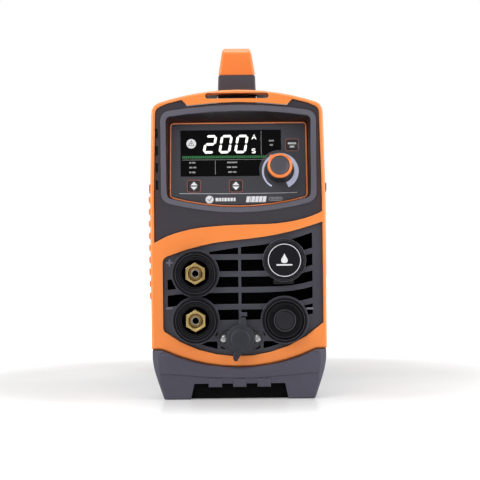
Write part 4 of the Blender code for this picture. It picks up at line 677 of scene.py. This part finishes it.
def buildPanelPrint():
    low, high = -0.05, 0.09
    bm = bmesh.new()
    steps = 64
    inner, outer = [], []
    for i in range(steps + 1):
        share = i / steps
        turn = math.radians(dial["start"] + (dial["end"] - dial["start"]) * share)
        width = dial["thin"] + (dial["thick"] - dial["thin"]) * share ** dial["growth"]
        cx, cy = dial["scaleAt"]
        outer.append((cx + dial["outer"] * math.cos(turn), cy + dial["outer"] * math.sin(turn)))
        reach = dial["outer"] - width
        inner.append((cx + reach * math.cos(turn), cy + reach * math.sin(turn)))
    middle = [((a[0] + b[0]) / 2, (a[1] + b[1]) / 2) for a, b in zip(outer, inner)]
    widths = [math.dist(a, b) for a, b in zip(outer, inner)]
    addRibbon(bm, middle, widths, low, high)
    keep("dialScale", bm, "scaleLavender", "case", panelPlace)

    bm = bmesh.new()
    for x, y in keyFrames.values():
        addRibbon(bm, roundBox(x - 5.5, y - 5.0, x + 5.5, y + 5.0, 1.7), 0.55, low, high, closed=True)
    keep("keyOutlines", bm, "markRed", "case", panelPlace)

    bm = bmesh.new()
    line = [(-48.2 + i * 4.85, 11.6 + 0.5 * ((-48.2 + i * 4.85) / 48.5) ** 2) for i in range(21)]
    addRibbon(bm, line, 0.55, low, high)
    keep("panelLine", bm, "markSilver", "case", panelPlace)

    # plain blocks and a dot, in place of any wording
    bm = bmesh.new()
    addPlate(bm, disc(*panelBlocks["dot"], 40), low, high)
    row = panelBlocks["upright"]
    left = row["left"]
    for size in row["widths"]:
        addPlate(bm, box2(left, row["low"], left + size - 0.55, row["high"]), low, high)
        left += size
    row = panelBlocks["slanted"]
    left = row["left"]
    for size in row["widths"]:
        addPlate(bm, [(left, row["low"]), (left + size - 0.4, row["low"]), (left + size + 0.5, row["high"]),
                      (left + 0.9, row["high"])], low, high)
        left += size
    keep("panelMarks", bm, "markWhite", "case", panelPlace)
    bm = bmesh.new()
    addRibbon(bm, [(-25.0, 7.4), (-23.4, 5.5), (-21.5, 8.6)], 0.55, high - 0.02, high + 0.03)
    keep("panelDotStroke", bm, "panelFilm", "case", panelPlace)
    bm = bmesh.new()
    addRibbon(bm, roundBox(25.8, 5.6, 36.4, 8.2, 0.9), 0.5, low, high, closed=True)
    for i in range(8):
        addPlate(bm, box2(27.0 + i * 1.08, 6.4, 27.7 + i * 1.08, 7.4), low, high)
    keep("panelSmallMarks", bm, "markGrey", "case", panelPlace)


def buildKeySigns():
    low, high = 0.65, 0.8
    for name in ("left", "middle"):
        x, y = keyFrames[name]
        bm = bmesh.new()
        for way in (1, -1):
            addPlate(bm, [(x - 2.9, y + way * 0.5), (x + 2.9, y + way * 0.5), (x, y + way * 3.6)][::way], low, high)
        keep(name + "KeyArrows", bm, "markWhite", name + "_key", panelPlace)
    x, y = keyFrames["upper"]
    bm = bmesh.new()
    for level, count in ((1.15, 7), (-1.6, 4)):
        for i in range(count):
            left = x + (i - count / 2) * 1.0
            addPlate(bm, box2(left, y + level - 0.75, left + 0.7, y + level + 0.75), low, high)
    keep("upperKeyMarks", bm, "markWhite", "upper_key", panelPlace)


knob = {"skirt": 9.9, "foot": 10.8, "flutes": 36, "low": 1.0, "top": 15.5, "ring": 10.25, "length": 18.7}


def buildKnob():
    cx, cy = dial["at"]
    place = panelPlace @ Matrix.Translation((cx * mm, cy * mm, 0))
    bm = bmesh.new()
    loops = []
    count = knob["flutes"] * 6

    def ring(radius, level, flute):
        points = []
        for i in range(count):
            turn = math.tau * i / count
            reach = radius - flute * (0.5 + 0.5 * math.cos(knob["flutes"] * turn)) ** 2
            points.append((reach * math.cos(turn), reach * math.sin(turn), level))
        return points
    skirt, bottom, top = knob["skirt"], knob["low"], knob["top"]
    for radius, level, flute in ((3.4, bottom, 0), (knob["foot"] - 0.3, bottom, 0), (knob["foot"], bottom + 0.3, 0),
                                 (knob["foot"] - 0.1, bottom + 1.3, 0), (skirt + 0.3, bottom + 3.4, 0.2),
                                 (skirt, bottom + 4.6, 0.6), (skirt, top - 0.5, 0.6), (skirt - 0.5, top, 0.2),
                                 (3.4, top, 0)):
        loops.append(ring(radius, level, flute))
    loftRing(bm, loops)
    keep("knobSkirt", bm, "blackMoulding", "knob", place, 40, ("knob_skirt",))

    base = knob["top"] + 0.3
    outer = knob["ring"]
    profile = [(8.0, base), (outer - 0.3, base), (outer, base + 0.3), (outer, base + 0.8), (outer - 0.35, base + 1.5),
               (outer - 0.9, base + 2.2), (outer - 1.5, knob["length"] - 0.12), (outer - 1.9, knob["length"]),
               (8.35, knob["length"]), (8.0, knob["length"] - 0.3)]
    turnedPiece("knobRingTurned", profile, "knobRing", "knob", place, 96, True, ("knob_ring",))

    top = base + 2.4
    profile = [(0, base), (7.55, base), (7.7, base + 0.2), (7.7, top - 0.35), (7.45, top), (6.9, top - 0.05),
               (6.4, top - 0.3), (5.0, top - 0.42), (2.5, top - 0.5), (0, top - 0.52)]
    turnedPiece("knobFaceDished", profile, "knobFace", "knob", place, 96, False, ("knob_cap",))

    # pointer at the upper left
    bm = bmesh.new()
    addPlate(bm, [(-1.5, 8.6), (-1.5, 10.4), (-0.7, 11.5), (0.7, 11.5), (1.5, 10.4), (1.5, 8.6)], base + 0.2,
             knob["length"] + 0.15, 0.35, 2)
    turn = Matrix.Rotation(math.radians(43), 4, "Z")
    keep("knobPointer", bm, "knobRing", "knob", place @ turn)


# collar steps are (radius, level), level 0 at the front rim
socket = {"plus": (-35.6, 103), "minus": (-35.6, 64.3), "torch": (37.4, 64.2), "front": 3}
collarSteps = [(14.0, -10.2), (18.1, -10.2), (18.4, -9.9), (18.4, -1.3), (18.2, -0.5), (17.6, -0.05), (16.9, 0),
               (16.4, -0.2), (16.15, -0.7), (16.1, -1.6), (15.4, -1.75), (15.2, -2.1), (15.15, -3.5), (14.4, -3.65),
               (14.2, -4.0), (14.15, -5.1), (13.1, -5.3), (12.9, -5.6), (12.85, -7.2), (11.9, -7.4), (11.7, -7.7),
               (11.65, -10.0), (10.9, -10.2), (10.67, -10.6), (10.67, -13.5)]


def hexLoop(across, level, count=24):
    corner = across / math.sqrt(3)
    points = []
    for i in range(count):
        side, part = divmod(i, count // 6)
        a, b = math.radians(60 * side), math.radians(60 * side + 60)
        share = part / (count // 6)
        points.append((corner * (math.cos(a) * (1 - share) + math.cos(b) * share),
                       corner * (math.sin(a) * (1 - share) + math.sin(b) * share), level))
    return points


def roundLoop(radius, level, count=24):
    return [(radius * math.cos(math.tau * i / count), radius * math.sin(math.tau * i / count), level)
            for i in range(count)]


insertShape = {"across": 16.4, "front": 6.7, "hexBack": 16.2, "bore": 3.4, "back": 34.5, "shank": 5.5, "end": 44}
sleeve = {"outer": 3.36, "inner": 2.7, "from": -2.6, "to": -20}


torchFace = {"depth": 2.2, "from": 8.9, "to": 13.3}
# painted highlights: thin pale rings on the collar's step edges, given as (radius, width, level)
collarHighlights = [(18.0, 0.5, -0.55), (16.2, 0.3, -0.3), (14.25, 0.25, -3.7), (12.95, 0.22, -5.4), (11.75, 0.2, -7.5)]


def collarPiece(kind):
    x, z = socket[kind]
    back = -(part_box(kind + "_socket_body")[1].y - cadLow.y) / mm + socket["front"]
    profile = [(14.0, back)] + collarSteps + [(10.67, back)]
    turnedPiece(kind + "Collar", profile, "socketResin", "case", spotAt(x, z, socket["front"]), 128,
                True, (kind + "_socket_body",), 22)
    # painted highlight rings on the collar steps
    bm = bmesh.new()
    for radius, width, level in collarHighlights:
        spinProfile(bm, [(radius - width / 2, level - 0.25), (radius + width / 2, level - 0.25),
                         (radius + width / 2, level + 0.06), (radius - width / 2, level + 0.06)], 96, True)
    keep(kind + "CollarHighlights", bm, "collarHighlight", "case", spotAt(x, z, socket["front"]))


def buildSockets():
    given = insertShape
    hexBack, end, back = (given["front"] - given[label] for label in ("hexBack", "end", "back"))
    turn = Matrix.Rotation(math.radians(30), 4, "Z")
    count = 96
    for kind in ("plus", "minus"):
        collarPiece(kind)
        x, z = socket[kind]
        place = spotAt(x, z, given["front"])
        bm = bmesh.new()
        across = given["across"]
        loftRing(bm, [
            roundLoop(6.3, 0, count), hexLoop(across - 1.1, 0, count), hexLoop(across, -0.55, count),
            hexLoop(across, hexBack, count), roundLoop(given["shank"], hexBack, count),
            roundLoop(given["shank"], end, count), roundLoop(0.4, end, count), roundLoop(0.4, back, count),
            roundLoop(given["bore"], back, count), roundLoop(given["bore"], -2.4, count),
            roundLoop(5.0, -2.2, count), roundLoop(6.0, -0.4, count)])
        keep(kind + "Insert", bm, "brass", "case", place @ turn, 20, (kind + "_socket_insert",))
        profile = [(5.02, -2.15), (5.95, -0.42), (5.8, -0.42), (4.9, -2.0), (3.5, -2.2), (3.5, -2.35)]
        turnedPiece(kind + "Recess", profile, "brassBore", "case", place, 96, True)
        inner, outer, near, far = (sleeve[key] for key in ("inner", "outer", "from", "to"))
        profile = [(inner, far), (outer, far), (outer, near), (outer - 0.25, near + 0.2), (inner, near + 0.2)]
        turnedPiece(kind + "Sleeve", profile, "boreSteel", "case", place, 64, True)
    collarPiece("torch")
    # dark ring on the torch cap, and a raised edge in a pale painted highlight
    place = spotAt(*socket["torch"], torchFace["depth"])
    low, high = torchFace["from"], torchFace["to"]
    profile = [(low, -0.6), (high, -1.6), (high, -1.05), (11.3, -0.28), (low, -0.19)]
    turnedPiece("torchCapRing", profile, "socketResin", "torch_dust_cap", place, 96, True)
    profile = [(low - 0.5, -0.6), (low, -0.6), (low, 0.0), (low - 0.15, 0.12), (low - 0.35, 0.12), (low - 0.5, 0.0)]
    turnedPiece("torchCapHighlight", profile, "collarHighlight", "torch_dust_cap", place, 96, True)


poleMark = {"spots": ((-56.6, 112.0, True), (-57.0, 74.6, False), (58.2, 73.4, False)), "reach": 3.0, "half": 0.85,
            "low": -0.2, "high": 0.7, "crossHigh": 0.72}


def buildMarks():
    reach, half = poleMark["reach"], poleMark["half"]
    bm = bmesh.new()
    for x, z, cross in poleMark["spots"]:
        flat = roundBox(x - reach, z - half, x + reach, z + half, 0.5, 3)
        addPlate(bm, flat, poleMark["low"], poleMark["high"], 0.2, 2)
        if cross:
            upright = roundBox(x - half, z - reach, x + half, z + reach, 0.5, 3)
            addPlate(bm, upright, poleMark["low"], poleMark["crossHigh"], 0.2, 2)
    keep("poleMarks", bm, "markRaised", "case", frontAt(13))


# round emblem on its stem
badge = {"at": (37.6, 113.3), "front": 7.0, "radius": 15.6, "circle": 13.2, "bar": (-6.6, -4.4, 6.6, -3.2),
         "stem": (-7.6, -18.6, 5.8, -13.0), "stemFoot": (-9.4, -19.6, 7.6, -15.9)}


def buildBadge():
    x, z = badge["at"]
    place = spotAt(x, z, badge["front"])
    low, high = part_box("badge_disc")
    thick = (high.y - low.y) / mm
    edge = badge["radius"]
    profile = [(0, -thick), (edge - 0.2, -thick), (edge, -thick + 0.2), (edge, -0.7), (edge - 0.3, -0.25),
               (edge - 0.9, 0), (edge - 1.5, -0.05), (edge - 1.9, -0.35), (0, -0.35)]
    turnedPiece("badgeFaceDisc", profile, "badgeFace", "case", place, 96, False, ("badge_disc",))
    bm = bmesh.new()
    addRibbon(bm, disc(0, 0, badge["circle"], 80), 0.55, -0.4, -0.2, closed=True)
    keep("badgeCircle", bm, "markWhite", "case", place)
    # a plain drop of metal on a bar
    bm = bmesh.new()
    addPlate(bm, roundBox(*badge["bar"], 0.5, 3), -0.4, -0.15)
    drop = [(0.0, 5.6), (-1.1, 3.2), (-2.4, 1.2), (-2.8, -0.4), (-2.2, -1.7), (-1.0, -2.3), (0.0, -2.4), (1.0, -2.3),
            (2.2, -1.7), (2.8, -0.4), (2.4, 1.2), (1.1, 3.2)]
    addPlate(bm, drop, -0.4, -0.15)
    keep("badgeEmblem", bm, "markWhite", "case", place)
    bm = bmesh.new()
    addPlate(bm, roundBox(*badge["stemFoot"], 1.4, 5), -3.6, -2.0, 0.5, 3)
    addPlate(bm, roundBox(*badge["stem"], 1.2, 5), -2.2, -1.5, 0.4, 3)
    keep("badgeStem", bm, "badgeFace", "case", place)
    bm = bmesh.new()
    spinProfile(bm, [(16.1, -1.4), (17.5, -1.4), (17.5, -0.9), (17.3, -0.7), (17.0, -0.7), (16.85, -1.0),
                     (16.65, -1.0), (16.5, -0.5), (16.25, -0.5), (16.1, -0.8)], 96, True)
    keep("badgeRidges", bm, "blackMoulding", "case", place)


# rubber cap of the remote socket
cap = {"at": (1, 49.4), "outer": 11.9, "inner": 10.7, "hinge": 66.5, "strap": (2.7, 2.8)}


def buildDustCap():
    low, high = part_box("dust_cap")
    face = (low.y - cadLow.y) / mm
    thick = (high.y - low.y) / mm
    x, z = cap["at"]
    place = spotAt(x, z, face)
    outer, inner = cap["outer"], cap["inner"]
    rim = -thick
    profile = [(0, -3.4), (inner, -3.4), (inner, rim + 0.15), (inner + 0.2, rim), (outer - 0.25, rim),
               (outer, rim + 0.25), (outer, -2.0), (outer - 0.25, -1.35), (outer - 0.9, -0.95), (outer - 1.6, -0.85),
               (10.0, -1.15), (9.6, -1.15), (9.2, -0.9), (8.0, -0.85), (7.5, -0.5), (7.1, -0.08), (6.7, 0), (0, 0)]
    bm = bmesh.new()
    spinProfile(bm, profile, 72)
    keep("dustCapCup", bm, "dustRubber", "socket_dust_cap", place, 30, ("dust_cap",))
    bm = bmesh.new()
    sx, half = cap["strap"]
    top = cap["hinge"] - z + 0.6
    sx -= x
    addPlate(bm, roundBox(sx - half, outer - 1.8, sx + half, top, 0.7, 3), -1.9, 0.05, 0.4, 2)
    for level in (13.2, 14.6, 16.0):
        addPlate(bm, roundBox(sx - half + 0.5, level - 0.3, sx + half - 0.5, level + 0.3, 0.25, 2), 0, 0.22)
    keep("dustCapStrap", bm, "dustRubber", "socket_dust_cap", spotAt(x, z, face + 0.12))
    bm = bmesh.new()
    tail = [(-5.2, -9.6), (-6.3, -12.4), (-6.6, -15.2), (-6.2, -16.9), (-5.2, -17.9), (-4.2, -18.1), (-3.1, -17.6),
            (-2.4, -16.4), (-0.9, -13.8), (1.6, -11.2)]
    tail = [(a + 0.4, b) for a, b in tail]
    addPlate(bm, tail, -1.9, -0.4, 0.45, 3)
    keep("dustCapTail", bm, "dustRubber", "socket_dust_cap", place)
    bm = bmesh.new()
    addRibbon(bm, disc(-4.3, -16.1, 1.15, 20), 0.35, -0.5, -0.25, closed=True)
    keep("dustCapEye", bm, "dustRubber", "socket_dust_cap", place)


flange = {"at": (1, 49.4), "tall": 10.9, "ear": 4.5, "reach": 13.2, "depth": 15.4}


def flangeLoop(grow):
    # a rhombus with rounded corners: one wide circle and two small ones, joined by straight sides
    wide, small, reach = flange["tall"] + grow, flange["ear"] + grow, flange["reach"]
    lean = math.acos((wide - small) / reach)
    points = []
    for cx, radius, start, end in ((reach, small, -lean, lean), (0, wide, lean, math.pi - lean),
                                   (-reach, small, math.pi - lean, math.pi + lean),
                                   (0, wide, math.pi + lean, math.tau - lean)):
        for i in range(9):
            turn = start + (end - start) * i / 8
            points.append((cx + radius * math.cos(turn), radius * math.sin(turn)))
    return points


def buildFlangeEdge():
    place = spotAt(flange["at"][0], flange["at"][1], flange["depth"])
    for grow, width, top, finish in ((0.0, 0.55, 0.5, "flangeEdge"), (1.1, 0.9, 0.25, "grilleShell")):
        bm = bmesh.new()
        addRibbon(bm, flangeLoop(grow), width, -2.0, top, closed=True)
        keep("flangeEdge%d" % (10 * grow), bm, finish, "case", place)


# painted shade: a black sheet behind the grille and a black skirt between the feet, where the case shows only shade
shadeSheet = {"depth": 41.2, "thick": 1.0, "half": 63.5, "low": 10.5, "high": 150, "hole": 6.6}
skirt = {"depth": 13.4, "thick": 1.2, "half": 57, "low": 0.4, "high": 24}


def buildShadeSheets():
    bm = bmesh.new()
    outline = box2(-shadeSheet["half"], shadeSheet["low"], shadeSheet["half"], shadeSheet["high"])
    edges = []
    for loop in (outline, *(disc(*socket[kind], shadeSheet["hole"], 32) for kind in ("plus", "minus", "torch"))):
        made = [bm.verts.new((x * mm, y * mm, 0)) for x, y in loop]
        edges += [bm.edges.new((made[i - 1], made[i])) for i in range(len(made))]
    faces = [part for part in bmesh.ops.triangle_fill(bm, use_beauty=True, edges=edges)["geom"]
             if isinstance(part, bmesh.types.BMFace)]
    lifted = bmesh.ops.extrude_face_region(bm, geom=faces)["geom"]
    bmesh.ops.translate(bm, verts=[part for part in lifted if isinstance(part, bmesh.types.BMVert)],
                        vec=(0, 0, shadeSheet["thick"] * mm))
    keep("paintedShadeSheet", bm, "paintedShadeBlack", "case", frontAt(shadeSheet["depth"]))
    bm = bmesh.new()
    addPlate(bm, box2(-skirt["half"], skirt["low"], skirt["half"], skirt["high"]), 0, skirt["thick"])
    keep("paintedShadeSkirt", bm, "paintedShadeBlack", "case", frontAt(skirt["depth"]))


# brow above the bumper's ribs
bumper = {"face": 7, "archFoot": 24.7, "archRise": 13.6, "archHalf": 60,
          "brow": [(-57.5, 21.0), (-38, 19.2), (-19, 17.9), (0, 17.4), (19, 17.9), (38, 19.2), (57.5, 21.0)],
          "ribs": (("left", -20, 5.3), ("middle", 0, 5.3), ("right", 20, 5.3)), "ribLow": 10.2, "ribHigh": 16.8}


def buildBumperBrow():
    foot = [(x, bumper["archFoot"] + bumper["archRise"] * (x / bumper["archHalf"]) ** 2)
            for x in (60, 52, 42, 30, 16, 0, -16, -30, -42, -52, -60)]
    bm = bmesh.new()
    outline = [(-66.5, 21.5)] + bumper["brow"] + [(66.5, 21.5), (67.5, 36.5)] + foot + [(-67.5, 36.5)]
    addPlate(bm, outline, -0.4, 1.1, 0.8, 3)
    keep("bumperBrow", bm, "bumperShell", "case", frontAt(bumper["face"]))
    for name, middle, half in bumper["ribs"]:
        bm = bmesh.new()
        addPlate(bm, [(middle - half, bumper["ribLow"]), (middle + half, bumper["ribLow"]),
                      (middle + half - 0.5, bumper["ribHigh"]), (middle - half + 0.5, bumper["ribHigh"])],
                 -0.4, 0.9, 0.6, 3)
        keep(name + "Rib", bm, "bumperShell", "case", frontAt(bumper["face"]))


floor = {"half": 4, "glow": (0.17, 1.0), "fade": (0.2, 0.46)}    # painted light: the floor glows for the camera, pale near the machine and white further out


def makeFloor():
    bm = bmesh.new()
    bmesh.ops.create_grid(bm, x_segments=2, y_segments=2, size=floor["half"])
    mesh = bpy.data.meshes.new("studioFloor")
    bm.to_mesh(mesh)
    bm.free()
    material, tree, shader, where = startMaterial("floorPaper")
    patch = noiseNode(tree, where, 6.0, 3.0)
    tree.links.new(mixColour(tree, patch, (0.90, 0.90, 0.90), (0.93, 0.93, 0.93)), shader.inputs["Base Color"])
    tree.links.new(spread(tree, patch, 0.12, 0.16), shader.inputs["Roughness"])
    reach = tree.nodes.new("ShaderNodeVectorMath")
    reach.operation = "LENGTH"
    tree.links.new(where, reach.inputs[0])
    fade = tree.nodes.new("ShaderNodeMapRange")
    fade.interpolation_type = "SMOOTHSTEP"
    for label, value in zip(("From Min", "From Max", "To Min", "To Max"), (*floor["fade"], *floor["glow"])):
        fade.inputs[label].default_value = value
    tree.links.new(reach.outputs["Value"], fade.inputs["Value"])
    # painted light: a glow only the camera sees, weak near the machine
    seen = tree.nodes.new("ShaderNodeLightPath").outputs["Is Camera Ray"]
    glow = mathNode(tree, "MULTIPLY", seen, fade.outputs["Result"])
    tree.links.new(glow, shader.inputs["Emission Strength"])
    shader.inputs["Emission Color"].default_value = (1, 1, 1, 1)
    mesh.materials.append(material)
    item = bpy.data.objects.new("studioFloor", mesh)
    scene.collection.objects.link(item)


makeCamera()
makeLights()
makeFloor()
finishNodes()
print("camera, lights and floor placed")
buildDisplay()
buildPanelPrint()
buildKeySigns()
buildKnob()
print("control panel dressed")
buildSockets()
buildMarks()
buildBadge()
buildDustCap()
buildFlangeEdge()
buildShadeSheets()
print("sockets and badge dressed")
buildBumperBrow()
print("bumper dressed")
